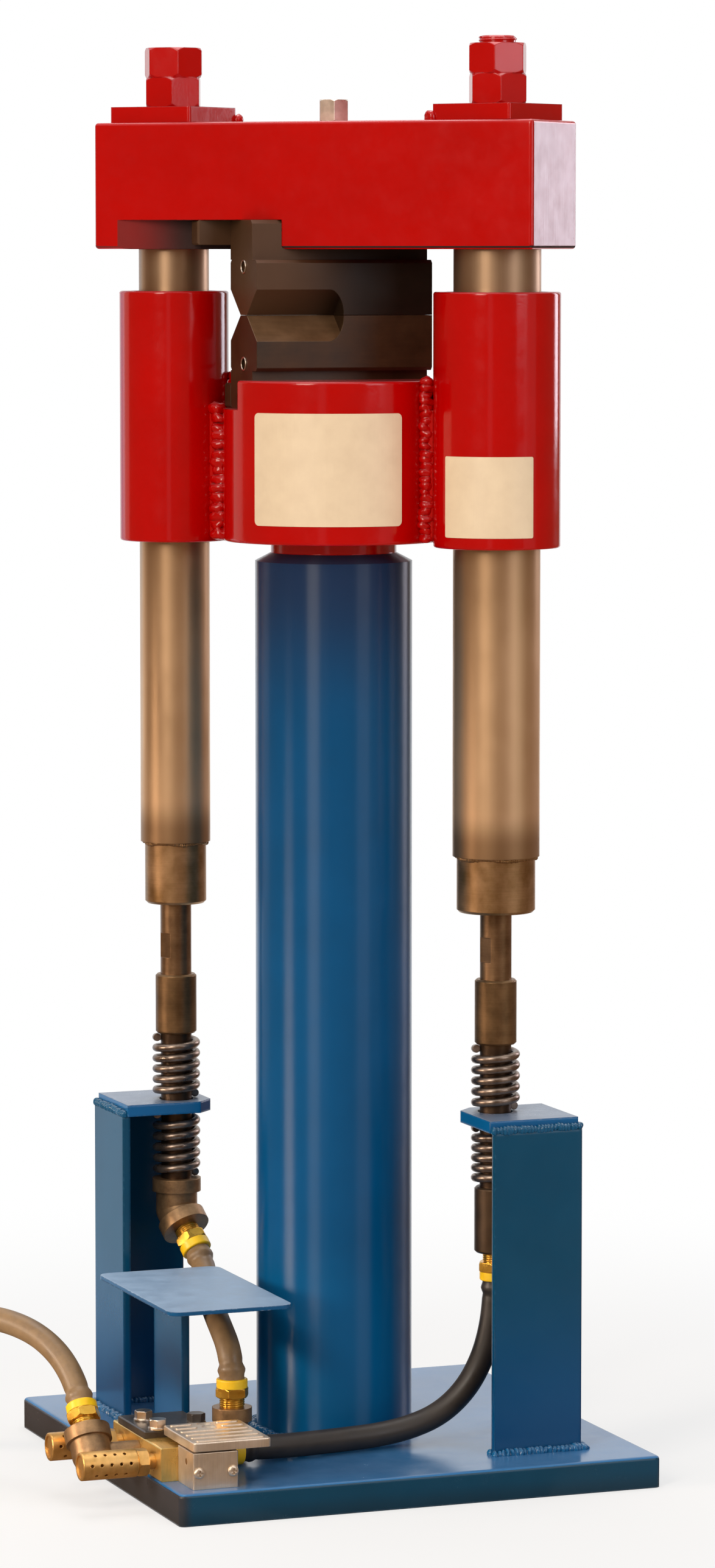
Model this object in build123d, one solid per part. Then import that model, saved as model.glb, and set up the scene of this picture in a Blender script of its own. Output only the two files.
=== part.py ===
from build123d import *
import math
import os

# Pneumatic power hammer: two air cylinders lift and drive a crosshead between two guide sleeves.
# Frame: origin at the centre of the base plate's underside, +X along its front edge, +Y back, +Z up.
INCH = 25.4
STANDING = (Align.CENTER, Align.CENTER, Align.MIN)

# Base and anvil
BASE_SIDE = 16 * INCH
BASE_T = 1 * INCH
BASE_CORNER_R = 5.0
BASE_EDGE_R = 3.0
COLUMN_D = 5 * INCH
COLUMN_TOP_Z = 736.0
NECK_D = 4 * INCH
NECK_CONE_H = 6.6
CAP_D = 7 * INCH
CAP_BOTTOM_Z = 752.0
CAP_H = 130.0
CAP_SOCKET_DEPTH = 72.0
CAP_EDGE_R = 2.5
FIT = 0.05
HEX_BREAK = 0.06

# Cylinders, their guides and the crosshead
TUBE_OFFSET = 101.0
LEFT_TUBE_D = 2.25 * INCH
RIGHT_TUBE_D = 2.75 * INCH
TUBE_WALL = 4.76
TUBE_BOTTOM_Z = 502.0
CROSSHEAD_BOTTOM_Z = 986.4
CROSSHEAD_L = 384.0
CROSSHEAD_W = 92.0
CROSSHEAD_H = 4 * INCH
CROSSHEAD_EDGE_R = 3.0
SLEEVE_BOTTOM_Z = 749.5
SLEEVE_H = 8 * INCH
LEFT_SLEEVE_D = 3.5 * INCH
RIGHT_SLEEVE_D = 4 * INCH
SLEEVE_EDGE_R = 2.0
BUSH_WALL = 6.35
BUSH_H = 60.0
BUSH_RECESS = 1.5
WELD_IN = 7.0
LEFT_WELD_OUT = 16.5
RIGHT_WELD_OUT = 20.5
WELD_CROWN = 2.0
WELD_REACH = 5.0

# Studs, washers and nuts on the crosshead
STUD_D = 28.6
STUD_BREAK = 1.5
LEFT_STUD_TOP_Z = 1145.0
RIGHT_STUD_TOP_Z = 1154.7
HEAD_PLUG_H = 32.0
SQUARE_WASHER = 75.0
SQUARE_WASHER_T = 12.9
WASHER_CORNER_R = 2.5
LEFT_WASHER_TURN = -50.0
RIGHT_WASHER_TURN = -57.0
NUT_AF = 42.9
NUT_H = 24.0
LEFT_NUT_TURNS = (8, 20)
RIGHT_NUT_TURNS = (14, 2)
DIE_BOLT_AF = 22.2
DIE_BOLT_HEAD_H = 18.0
DIE_BOLT_D = 14.0
DIE_BOLT_BITE = 16.0
DIE_BOLT_X = 2.0

# Combination dies: a drawing half on the left, a flat half on the right
DIE_L = 150.0
DIE_W = 62.0
DIE_Y = 5.0
PART_Z = 933.6
DIE_GAP = 0.2
DRAW_FLAT = 14.6
DRAW_H = 20.5
DRAW_END_X = -1.0
DRAW_RUNOUT_R = 13.0
DIE_EDGE_BREAK = 2.5
DIE_BODY_H = 44.2
TONGUE_RECESS = 11.0
TONGUE_TOP_BREAK = 3.0
SLOT_H = 23.4
KEY_W = 16.0
UPPER_KEY_OUT = 28.0
KEY_H = 20.0
KEY_BREAK = 1.5
DIE_HOLE_D = 10.0
DIE_HOLE_DEPTH = 25.0
DIE_HOLE_RISE = 5.5
RELIEF_START = 171.0
RELIEF_END_X = -95.0

# Piston rods, glands and couplings
ROD_D = 1 * INCH
ROD_BORE = 12.7
RUN = 0.05
PISTON_Z = 735.0
PISTON_H = 30.0
PISTON_SEAL_H = 6.0
PISTON_SEAL_DEPTH = 5.0
ROD_NUT_H = 14.0
GLAND_SPIGOT_H = 30.0
GLAND_BREAK = 2.0
LEFT_GLAND_D = 50.2
LEFT_GLAND_BOTTOM_Z = 451.0
RIGHT_GLAND_D = 63.0
RIGHT_GLAND_BOTTOM_Z = 457.0
ROD_SEAL_W = 6.0
ROD_SEAL_H = 7.0
COUPLING_D = 33.7
LEFT_COUPLING_H = 49.0
RIGHT_COUPLING_H = 52.5
COUPLING_CHAMFER = 1.5
LOWER_COUPLING_H = 53.5
ROD_FLAT_W = 22.0
ROD_FLAT_H = 20.0
ROD_FLAT_RISE = 14.0
ROD_FLAT_TURN = 20

# Stands with their springs
PLATE_SIDE = 3 * INCH
PLATE_T = 9.5
PLATE_OUT = 2 * INCH
PLATE_CHAMFER = 13.0
LEFT_PLATE_TOP_Z = 288.0
RIGHT_PLATE_TOP_Z = 295.0
PLATE_HOLE_D = 28.6
ANGLE_LEG = 3 * INCH
ANGLE_T = 6.35
ANGLE_STEP = 3.2
ANGLE_HEEL_R = 3.0
SPRING_OD = 39.5
SPRING_WIRE = 5.6
UPPER_SPRING_H = 55.0
LEFT_LOWER_SPRING_H = 56.5
RIGHT_LOWER_SPRING_H = 51.5
SPRING_TURNS = 5.5
SPRING_SEAT = 0.25

# Pipe fittings and push-on hose fittings
HOSE_D = 19.5
HOSE_BORE = 12.7
HOSE_LEAD = 15.0
ELBOW_BODY_R = 17.0
ELBOW_BAND_R = 20.0
ELBOW_BAND_H = 11.0
ELBOW_LEG = 27.0
ELBOW_OUTLET_LEG = 20.0
ELBOW_BEND = 45.0
ELBOW_TURN = -75.0
ROD_BITE = 15.0
BARB_NECK_D = 19.0
BARB_NECK_H = 8.0
BARB_HEX_AF = 24.0
BARB_HEX_H = 8.0
RING_D = 25.0
RING_H = 7.0
RING_EDGE_R = 1.2

# Foot valve at the front left corner
VALVE_INSET = 29.7
VALVE_SETBACK = 50.2
VALVE_BREAK = 0.8
VALVE_X = VALVE_INSET - BASE_SIDE / 2
SPOOL_X = VALVE_X + 4.0
VALVE_W = 57.0
VALVE_FRONT_Y = VALVE_SETBACK - BASE_SIDE / 2
VALVE_L = 118.0
VALVE_H = 26.6
SPOOL_D = 16.0
SPOOL_NECK_D = 9.0
SPOOL_LAND_L = 15.0
SPOOL_LANDS = 4
SPOOL_FRONT_ROOM = 1.0
SPOOL_REAR_ROOM = 20.0
BORE_END_WALL = 6.0
BLOCK_W = 37.0
BLOCK_L = 37.0
BLOCK_SLOT_W = 12.0
PORT_D = 12.0
PEDAL_X = VALVE_X + 18.0
PEDAL_W = 64.0
PEDAL_L = 74.5
PEDAL_T = 7.0
PEDAL_LIFT = 3.4
PEDAL_BLOCK_GAP = 1.3
PEDAL_RIB = 0.9
PEDAL_RIBS = 6
PEDAL_RIB_W = 4.0
PEDAL_HOLE_D = 6.5
PEDAL_SINK_D = 11.5
PEDAL_HOLE_ROOM = 10.0
PEDAL_SPLIT_RIBS = 2
PEDAL_RIB_INSET = 4.0
PEDAL_RIB_ROUND = 0.45
PEDAL_TOP_BREAK = 1.0
PEDAL_CORNER_R = 3.0
PIN_D = 5.0
PIN_BACK = 17.0
PIN_DROP = 7.0
EAR_W = 10.0
EAR_L = 15.0
EAR_H = 21.0
EAR_GAP = 0.3
EAR_ROOM = 3.0
CLAMP_L = 66.0
CLAMP_T = 6.0
CLAMP_GAP = 2.0
CLAMP_INSET = 2.0
CLAMP_BOLT_AF = 12.7
CLAMP_BOLT_HEAD_H = 6.5
CLAMP_BOLT_D = 8.0
CLAMP_WASHER_D = 15.5
CLAMP_WASHER_T = 1.6
CLAMP_BOLT_X = VALVE_X - 15.5
CLAMP_BOLT_YS = (VALVE_FRONT_Y + 45.8, VALVE_FRONT_Y + 81.0)
REAR_BOLT_X = VALVE_X + 20.5
REAR_BOLT_Y = VALVE_FRONT_Y + 57.0
BOLT_BITE = 12.0
SCREW_HEAD_D = 9.0
SCREW_HEAD_H = 3.0
SCREW_SLOT_W = 1.3
SCREW_SLOT_L = 5.0
SCREW_SLOT_DEPTH = 1.4
SCREW_DOME = 0.8
SCREW_D = 4.0
SCREW_PITCH = 28.0
SCREW_DEPTH = 14.0
MUFFLER_D = 22.5
MUFFLER_L = 46.0
MUFFLER_HEX_AF = 20.0
MUFFLER_HEX_L = 9.0
MUFFLER_NECK_L = 6.0
MUFFLER_WALL = 2.5
MUFFLER_BORE = 7.0
MUFFLER_RIM = 2.6
MUFFLER_DISH = 1.2
MUFFLER_EDGE_R = 1.2
MUFFLER_HOLE_D = 2.6
MUFFLER_HOLE_PITCH = 8.0
MUFFLER_HOLES = 5
MUFFLER_HOLE_ROWS = 8
MUFFLER_HOLE_TURN = 10.0
FRONT_MUFFLER_Y = VALVE_FRONT_Y + 18.0
REAR_MUFFLER_Y = VALVE_FRONT_Y + 97.5
INLET_Y = VALVE_FRONT_Y + 57.0
OUTLET_A_Y = VALVE_FRONT_Y + 37.5
OUTLET_B_Y = VALVE_FRONT_Y + 76.0
INLET_REACH = 38.0
INLET_LEAN = 38.0
INLET_LEG = 22.0
INLET_BODY_R = 16.0
INLET_BAND_R = 18.5
STREET_D = 18.0
OUTLET_REACH = 29.0
OUTLET_LEG = 26.0
OUTLET_BODY_R = 13.0
OUTLET_BAND_R = 16.0

# Guard over the pedal
POST_X = VALVE_X + 35.0
POST_T = 6.35
POST_W = 70.0
GUARD_T = 3.2
GUARD_TOP_Z = 157.0
GUARD_X0 = VALVE_X - 16.5
GUARD_X1 = VALVE_X + 86.5
GUARD_Y0 = VALVE_FRONT_Y + 10.0
GUARD_Y1 = VALVE_FRONT_Y + 194.0
GUARD_CORNER_R = 10.0

# Derived places
LEFT = Vector(-TUBE_OFFSET, TUBE_OFFSET, 0)
RIGHT = Vector(TUBE_OFFSET, -TUBE_OFFSET, 0)
SPACING = TUBE_OFFSET * math.sqrt(2)
CAP_TOP_Z = CAP_BOTTOM_Z + CAP_H
SLOT_FLOOR_Z = CAP_TOP_Z - SLOT_H
CROSSHEAD_TOP_Z = CROSSHEAD_BOTTOM_Z + CROSSHEAD_H
TONGUE_Y0 = DIE_Y - DIE_W / 2 + TONGUE_RECESS
TONGUE_Y1 = DIE_Y + DIE_W / 2
SLOT_Y1 = TONGUE_Y1 + KEY_W
VALVE_Z = BASE_T + VALVE_H / 2
VALVE_TOP_Z = BASE_T + VALVE_H
VALVE_REAR_Y = VALVE_FRONT_Y + VALVE_L
BORE_END_Y = VALVE_REAR_Y - BORE_END_WALL
BLOCK_FRONT_Y = VALVE_FRONT_Y - BLOCK_L
PEDAL_Z0 = VALVE_TOP_Z + PEDAL_LIFT
PIN_Y = BLOCK_FRONT_Y + PIN_BACK
PIN_Z = VALVE_TOP_Z - PIN_DROP
BLOCK_TOP_Z = PEDAL_Z0 - PEDAL_BLOCK_GAP
CLAMP_FRONT_Y = BLOCK_FRONT_Y + PEDAL_L + CLAMP_GAP
CLAMP_TOP_Z = VALVE_TOP_Z + CLAMP_T
LEFT_ROD_LOW = LEFT_PLATE_TOP_Z - PLATE_T - LEFT_LOWER_SPRING_H
RIGHT_ROD_LOW = RIGHT_PLATE_TOP_Z - PLATE_T - RIGHT_LOWER_SPRING_H
BOLT_PLACES = [Vector(CLAMP_BOLT_X, y) for y in CLAMP_BOLT_YS] + [Vector(REAR_BOLT_X, REAR_BOLT_Y)]


def cylinder(diameter, z0, z1, at=Vector(0, 0, 0)):
    """Upright round bar between two heights."""
    return Pos(at.X, at.Y, z0) * Cylinder(diameter / 2, z1 - z0, align=STANDING)


def block(x0, x1, y0, y1, z0, z1):
    return Pos(x0, y0, z0) * Box(x1 - x0, y1 - y0, z1 - z0, align=(Align.MIN, Align.MIN, Align.MIN))


def hexagon(across_flats, z0, z1, at=Vector(0, 0, 0), turn=0.0):
    """Hex bar with both ends broken to a cone, as turned nuts and heads are."""
    height = z1 - z0
    bar = extrude(RegularPolygon(across_flats / 2, 6, major_radius=False), height)
    corner = across_flats / math.sqrt(3)
    cone = chamfer(Cylinder(corner, height, align=STANDING).edges(), across_flats * HEX_BREAK)
    return Pos(at.X, at.Y, z0) * Rot(0, 0, turn) * (bar & cone)


def along_u(shape):
    """Turn a shape made along X so that it lies along the crosshead, from left rear to right front."""
    return Rot(0, 0, -45) * shape


def base_plate():
    plate = block(-BASE_SIDE / 2, BASE_SIDE / 2, -BASE_SIDE / 2, BASE_SIDE / 2, 0, BASE_T)
    plate = fillet(plate.edges().filter_by(Axis.Z), BASE_CORNER_R)
    return fillet(plate.faces().sort_by(Axis.Z)[-1].edges(), BASE_EDGE_R)


def anvil_column():
    shaft = cylinder(COLUMN_D, BASE_T, COLUMN_TOP_Z)
    cone = Pos(0, 0, COLUMN_TOP_Z) * Cone(COLUMN_D / 2, NECK_D / 2, NECK_CONE_H, align=STANDING)
    return shaft + cone + cylinder(NECK_D, COLUMN_TOP_Z, CAP_BOTTOM_Z + CAP_SOCKET_DEPTH)


def slot(z0, z1):
    """Die slot across the anvil cap or the crosshead, wide enough for the tongue and its key."""
    return block(-CROSSHEAD_L, CROSSHEAD_L, TONGUE_Y0 - FIT, SLOT_Y1 + FIT, z0, z1)


def anvil_cap():
    cap = cylinder(CAP_D, CAP_BOTTOM_Z, CAP_TOP_Z)
    cap = fillet(cap.edges().filter_by(GeomType.CIRCLE), CAP_EDGE_R)
    cap -= cylinder(NECK_D + 2 * FIT, CAP_BOTTOM_Z, CAP_BOTTOM_Z + CAP_SOCKET_DEPTH)
    return cap - slot(SLOT_FLOOR_Z, CAP_TOP_Z)


def guide_sleeve(diameter, tube_d, at):
    top = SLEEVE_BOTTOM_Z + SLEEVE_H
    sleeve = cylinder(diameter, SLEEVE_BOTTOM_Z, top, at)
    sleeve = fillet(sleeve.edges().filter_by(GeomType.CIRCLE), SLEEVE_EDGE_R)
    return sleeve - cylinder(tube_d + 2 * (RUN + BUSH_WALL + FIT), SLEEVE_BOTTOM_Z, top, at)


def guide_bushes(tube_d, at):
    """Upper and lower bronze bush, pressed into one sleeve."""
    low = SLEEVE_BOTTOM_Z + BUSH_RECESS
    high = SLEEVE_BOTTOM_Z + SLEEVE_H - BUSH_RECESS - BUSH_H
    bore = tube_d + 2 * RUN
    wall = bore + 2 * BUSH_WALL
    return [cylinder(wall, z, z + BUSH_H, at) - cylinder(bore, z, z + BUSH_H, at) for z in (low, high)]


def sleeve_weld(side, sleeve_d, out, front):
    """Weld bead that fills the corner between the cap and a sleeve over the cap's height."""
    z0 = CAP_BOTTOM_Z + CAP_EDGE_R
    height = SLOT_FLOOR_Z - z0
    reach = CAP_D / 2 + WELD_REACH
    middle = (CAP_D / 2 + SPACING - sleeve_d / 2) / 2
    outline = Polyline((middle - reach, WELD_IN), (middle + reach, WELD_IN), (middle + reach, out))
    crown = ThreePointArc((middle + reach, out), (middle, out + WELD_CROWN), (middle - reach, out))
    close = Line((middle - reach, out), (middle - reach, WELD_IN))
    bead = extrude(make_face(outline + crown + close), height)
    bead -= Cylinder(CAP_D / 2 + FIT, height, align=STANDING)
    bead -= Pos(SPACING, 0, 0) * Cylinder(sleeve_d / 2 + FIT, height, align=STANDING)
    bead = between(bead, middle)
    turn = 0 if side > 0 else 180
    placed = Rot(0, 0, turn) * (bead if front * side < 0 else mirror(bead, Plane.XZ))
    return along_u(Pos(0, 0, z0) * placed)


def between(bead, middle):
    """The one piece of a cut bead that lies in the gap."""
    return min(bead.solids(), key=lambda solid: abs(solid.center().X - middle))


def draw_cut(front, face_z):
    """Milled bevel of the drawing half, with the round corner that the cutter leaves at its inner end."""
    fall = (DIE_W - DRAW_FLAT) / 2
    slope = math.hypot(fall, DRAW_H)
    side = -1 if front else 1
    down = Vector(0, side * fall, -DRAW_H).normalized()
    up_from_bevel = Vector(0, side * DRAW_H, fall).normalized()
    origin = Vector(0, DIE_Y + side * DRAW_FLAT / 2, face_z)
    start_x = -DIE_L / 2 - DIE_EDGE_BREAK
    ends = [(start_x, -slope), (DRAW_END_X, -slope), (DRAW_END_X, slope), (start_x, slope)]
    outline = Polyline(*ends, close=True)
    pocket = make_face(outline)
    corner = pocket.vertices().sort_by(lambda v: v.X + v.Y)[-1]
    pocket = fillet(corner, DRAW_RUNOUT_R)
    plane = Plane(origin, x_dir=(1, 0, 0), z_dir=Vector(1, 0, 0).cross(down))
    toward = 1 if plane.z_dir.dot(up_from_bevel) > 0 else -1
    return extrude(plane * pocket, toward * slope)


def die(upper):
    """Combination die, made face up at the parting height and turned over for the upper one."""
    y0, y1 = DIE_Y - DIE_W / 2, DIE_Y + DIE_W / 2
    face_z = -DIE_GAP / 2
    body_z = face_z - DIE_BODY_H
    tongue_z = body_z - tongue_drop(upper)
    body = block(-DIE_L / 2, DIE_L / 2, y0, y1, body_z, face_z)
    body = chamfer(body.faces().sort_by(Axis.Z)[0].edges().filter_by(Axis.X), DIE_EDGE_BREAK)
    for front in (True, False):
        body -= draw_cut(front, face_z)
    tongue = block(-DIE_L / 2, DIE_L / 2, TONGUE_Y0, TONGUE_Y1, tongue_z, body_z)
    tongue = chamfer(tongue.faces().sort_by(Axis.Z)[0].edges().filter_by(Axis.X), TONGUE_TOP_BREAK)
    hole_z = body_z + DIE_HOLE_RISE
    hole = Pos(-DIE_L / 2, DIE_Y, hole_z) * Rot(0, 90, 0) * Cylinder(
        DIE_HOLE_D / 2, DIE_HOLE_DEPTH, align=STANDING)
    made = body + tongue - hole
    if upper:
        made = mirror(made, Plane.XY)
    made = Pos(0, 0, PART_Z) * made
    if upper:
        bolt_low = CROSSHEAD_BOTTOM_Z + SLOT_H - DIE_BOLT_BITE
        made -= cylinder(DIE_BOLT_D + 2 * FIT, bolt_low, CROSSHEAD_TOP_Z, Vector(DIE_BOLT_X, DIE_Y, 0))
    return made


def tongue_drop(upper):
    """Height of the tongue, from the die's body to the floor of its slot."""
    if upper:
        return CROSSHEAD_BOTTOM_Z + SLOT_H - FIT - (PART_Z + DIE_GAP / 2 + DIE_BODY_H)
    return PART_Z - DIE_GAP / 2 - DIE_BODY_H - SLOT_FLOOR_Z


def die_key(upper):
    """Flat taper key driven in behind the tongue."""
    z0 = CROSSHEAD_BOTTOM_Z + SLOT_H - KEY_H - FIT if upper else SLOT_FLOOR_Z
    x0 = -DIE_L / 2 - (UPPER_KEY_OUT if upper else 0)
    key = block(x0, DIE_L / 2, TONGUE_Y1 + FIT, SLOT_Y1, z0, z0 + KEY_H)
    return chamfer(key.faces().sort_by(Axis.X)[0].edges(), KEY_BREAK)


def crosshead():
    bar = along_u(Pos(0, 0, CROSSHEAD_BOTTOM_Z) * Box(
        CROSSHEAD_L, CROSSHEAD_W, CROSSHEAD_H, align=STANDING))
    bar = fillet(bar.edges(), CROSSHEAD_EDGE_R)
    z1 = CROSSHEAD_BOTTOM_Z + SLOT_H
    bar -= slot(CROSSHEAD_BOTTOM_Z, z1)
    face = CROSSHEAD_W / 2
    start = Vector((-RELIEF_START - face) / math.sqrt(2), (RELIEF_START - face) / math.sqrt(2))
    far_x = RELIEF_END_X - CROSSHEAD_W
    outline = Polyline((start.X, start.Y), (RELIEF_END_X, SLOT_Y1), (far_x, SLOT_Y1), close=True)
    bar -= Pos(0, 0, CROSSHEAD_BOTTOM_Z) * extrude(make_face(outline), SLOT_H)
    for at in (LEFT, RIGHT):
        bar -= cylinder(STUD_D + 2 * FIT, CROSSHEAD_BOTTOM_Z, CROSSHEAD_TOP_Z, at)
    bolt_hole = Vector(DIE_BOLT_X, DIE_Y, 0)
    return bar - cylinder(DIE_BOLT_D + 2 * FIT, CROSSHEAD_BOTTOM_Z, CROSSHEAD_TOP_Z, bolt_hole)


def cylinder_tube(diameter, at):
    return cylinder(diameter, TUBE_BOTTOM_Z, CROSSHEAD_BOTTOM_Z, at) - cylinder(
        diameter - 2 * TUBE_WALL, TUBE_BOTTOM_Z, CROSSHEAD_BOTTOM_Z, at)


def tube_head(tube_d, stud_top, at):
    """Plug that closes a tube's top, with the stud that ties it to the crosshead."""
    bore = tube_d - 2 * TUBE_WALL
    plug = cylinder(bore - 2 * FIT, CROSSHEAD_BOTTOM_Z - HEAD_PLUG_H, CROSSHEAD_BOTTOM_Z, at)
    stud = cylinder(STUD_D, CROSSHEAD_BOTTOM_Z, stud_top, at)
    return plug + chamfer(stud.edges().group_by(Axis.Z)[-1], STUD_BREAK)


def crosshead_washers():
    z1 = CROSSHEAD_TOP_Z + SQUARE_WASHER_T
    washers = []
    for at, turn in ((LEFT, LEFT_WASHER_TURN), (RIGHT, RIGHT_WASHER_TURN)):
        plate = Box(SQUARE_WASHER, SQUARE_WASHER, SQUARE_WASHER_T, align=STANDING)
        plate = fillet(plate.edges().filter_by(Axis.Z), WASHER_CORNER_R)
        plate = Pos(at.X, at.Y, CROSSHEAD_TOP_Z) * Rot(0, 0, turn) * plate
        washers.append(plate - cylinder(STUD_D + 2 * FIT, CROSSHEAD_TOP_Z, z1, at))
    return washers


def crosshead_nuts():
    seat = CROSSHEAD_TOP_Z + SQUARE_WASHER_T
    nuts = []
    for at, turns in ((LEFT, LEFT_NUT_TURNS), (RIGHT, RIGHT_NUT_TURNS)):
        for level, turn in enumerate(turns):
            z0 = seat + level * NUT_H
            nut = hexagon(NUT_AF, z0, z0 + NUT_H, at, turn)
            nuts.append(nut - cylinder(STUD_D + 2 * FIT, z0, z0 + NUT_H, at))
    return nuts


def upper_die_bolt():
    at = Vector(DIE_BOLT_X, DIE_Y, 0)
    low = CROSSHEAD_BOTTOM_Z + SLOT_H - DIE_BOLT_BITE
    head = hexagon(DIE_BOLT_AF, CROSSHEAD_TOP_Z, CROSSHEAD_TOP_Z + DIE_BOLT_HEAD_H, at, 12)
    return head + cylinder(DIE_BOLT_D, low, CROSSHEAD_TOP_Z, at)


def gland(tube_d, collar_d, bottom_z, at):
    """Collar that closes a tube's lower end, bored for the rod and grooved for its seal."""
    top = TUBE_BOTTOM_Z + GLAND_SPIGOT_H
    collar = cylinder(collar_d, bottom_z, TUBE_BOTTOM_Z, at)
    collar = chamfer(collar.edges().group_by(Axis.Z)[0], GLAND_BREAK)
    body = collar + cylinder(tube_d - 2 * TUBE_WALL - 2 * FIT, TUBE_BOTTOM_Z, top, at)
    body -= cylinder(ROD_D + 2 * RUN, bottom_z, top, at)
    return body - cylinder(ROD_D + 2 * ROD_SEAL_W + 2 * FIT, top - ROD_SEAL_H - FIT, top, at)


def rod_seals():
    z1 = TUBE_BOTTOM_Z + GLAND_SPIGOT_H
    z0 = z1 - ROD_SEAL_H
    wide, bore = ROD_D + 2 * ROD_SEAL_W, ROD_D + 2 * RUN
    return [cylinder(wide, z0, z1, at) - cylinder(bore, z0, z1, at) for at in (LEFT, RIGHT)]


def piston_rod(at, low_z, coupling_top):
    """Hollow rod that feeds air to the piston, with spanner flats above its coupling."""
    rod = cylinder(ROD_D, low_z, PISTON_Z + PISTON_H + ROD_NUT_H, at)
    z0 = coupling_top + ROD_FLAT_RISE
    for side in (-1, 1):
        cut = Box(ROD_D, ROD_D, ROD_FLAT_H, align=STANDING)
        beside_flat = Pos(side * (ROD_FLAT_W + ROD_D) / 2, 0, 0)
        rod -= Pos(at.X, at.Y, z0) * Rot(0, 0, ROD_FLAT_TURN) * beside_flat * cut
    return rod - cylinder(ROD_BORE, low_z, RIGHT_STUD_TOP_Z, at)


def piston(tube_d, at):
    bore = tube_d - 2 * TUBE_WALL
    seal_z = PISTON_Z + (PISTON_H - PISTON_SEAL_H) / 2
    body = cylinder(bore - 2 * RUN, PISTON_Z, PISTON_Z + PISTON_H, at)
    groove = cylinder(bore, seal_z, seal_z + PISTON_SEAL_H, at) - cylinder(
        bore - 2 * PISTON_SEAL_DEPTH, seal_z, seal_z + PISTON_SEAL_H, at)
    nut = hexagon(ROD_D * 1.5, PISTON_Z + PISTON_H, PISTON_Z + PISTON_H + ROD_NUT_H, at)
    return body + nut - groove - cylinder(ROD_D + 2 * FIT, PISTON_Z, RIGHT_STUD_TOP_Z, at)


def piston_seal(tube_d, at):
    bore = tube_d - 2 * TUBE_WALL
    seal_z = PISTON_Z + (PISTON_H - PISTON_SEAL_H) / 2
    return cylinder(bore - 2 * RUN, seal_z + FIT, seal_z + PISTON_SEAL_H - FIT, at) - cylinder(
        bore - 2 * PISTON_SEAL_DEPTH + 2 * FIT, seal_z, seal_z + PISTON_SEAL_H, at)


def coupling(at, z0, height):
    sleeve = cylinder(COUPLING_D, z0, z0 + height, at)
    sleeve = chamfer(sleeve.edges().filter_by(GeomType.CIRCLE), COUPLING_CHAMFER)
    return sleeve - cylinder(ROD_D + 2 * FIT, z0, z0 + height, at)


def flat_distance(a, b):
    return math.hypot(a.X - b.X, a.Y - b.Y)


def stand(at, plate_top):
    """Length of steel angle on end, heel outwards, that carries one spring plate."""
    out = math.copysign(1, at.X), math.copysign(1, at.Y)
    heel = Vector(at.X + out[0] * (PLATE_OUT + ANGLE_STEP), at.Y + out[1] * (PLATE_OUT + ANGLE_STEP))
    z1 = plate_top - PLATE_T
    outer = Pos(heel.X - out[0] * ANGLE_LEG / 2, heel.Y - out[1] * ANGLE_LEG / 2, BASE_T) * Box(
        ANGLE_LEG, ANGLE_LEG, z1 - BASE_T, align=STANDING)
    shift = ANGLE_T + ANGLE_LEG / 2
    inner = Pos(heel.X - out[0] * shift, heel.Y - out[1] * shift, BASE_T) * Box(
        ANGLE_LEG, ANGLE_LEG, z1 - BASE_T, align=STANDING)
    angle = outer - inner
    heel_edge = angle.edges().filter_by(Axis.Z).sort_by(lambda edge: flat_distance(edge.center(), heel))[0]
    return fillet(heel_edge, ANGLE_HEEL_R)


def stand_plate(at, top_z):
    out = math.copysign(1, at.X), math.copysign(1, at.Y)
    shift = PLATE_OUT - PLATE_SIDE / 2
    middle = Vector(at.X + out[0] * shift, at.Y + out[1] * shift)
    plate = Pos(middle.X, middle.Y, top_z - PLATE_T) * Box(
        PLATE_SIDE, PLATE_SIDE, PLATE_T, align=STANDING)
    corners = plate.edges().filter_by(Axis.Z)
    inner_edge = corners.sort_by(lambda edge: flat_distance(edge.center(), Vector()))[0]
    return chamfer(inner_edge, PLATE_CHAMFER) - cylinder(PLATE_HOLE_D, top_z - PLATE_T, top_z, at)


def biarc(start, end, tangent0, tangent1):
    """Two tangent arcs from one point and direction to another."""
    chord = end - start
    both = tangent0 + tangent1
    a = 2 * (tangent0.dot(tangent1) - 1)
    b = -2 * chord.dot(both)
    reach = (-b - math.sqrt(b * b - 4 * a * chord.dot(chord))) / (2 * a)
    near, far = start + tangent0 * reach, end - tangent1 * reach
    middle = (near + far) * 0.5
    across = (far - near).normalized()
    return [Edge.make_tangent_arc(start, tangent0, middle), Edge.make_tangent_arc(middle, across, end)]


def coil_spring(at, z0, height):
    """Round wire compression spring, one unbroken helix on biarcs of a quarter turn."""
    radius = (SPRING_OD - SPRING_WIRE) / 2
    low = z0 + SPRING_SEAT + SPRING_WIRE / 2
    rise = height - 2 * SPRING_SEAT - SPRING_WIRE
    steps = round(SPRING_TURNS * 4)
    slope = rise / (SPRING_TURNS * 2 * math.pi)

    def point(step):
        angle = step * math.pi / 2
        z = low + rise * step / steps
        return Vector(at.X + radius * math.cos(angle), at.Y + radius * math.sin(angle), z)

    def direction(step):
        angle = step * math.pi / 2
        return Vector(-radius * math.sin(angle), radius * math.cos(angle), slope).normalized()

    edges = []
    for step in range(steps):
        edges += biarc(point(step), point(step + 1), direction(step), direction(step + 1))
    gap = rise / SPRING_TURNS * math.cos(math.atan(slope / radius)) - SPRING_WIRE
    print(f"spring pitch {rise / SPRING_TURNS:.2f} mm, least gap between turns {gap:.2f} mm")
    return sweep(Plane(point(0), z_dir=direction(0)) * Circle(SPRING_WIRE / 2), path=Wire(edges))


def bar_along(start, direction, near, far, radius):
    """Round bar along a direction, between two distances from its start."""
    return Plane(start + direction * near, z_dir=direction) * Cylinder(
        radius, far - near, align=STANDING)


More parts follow.
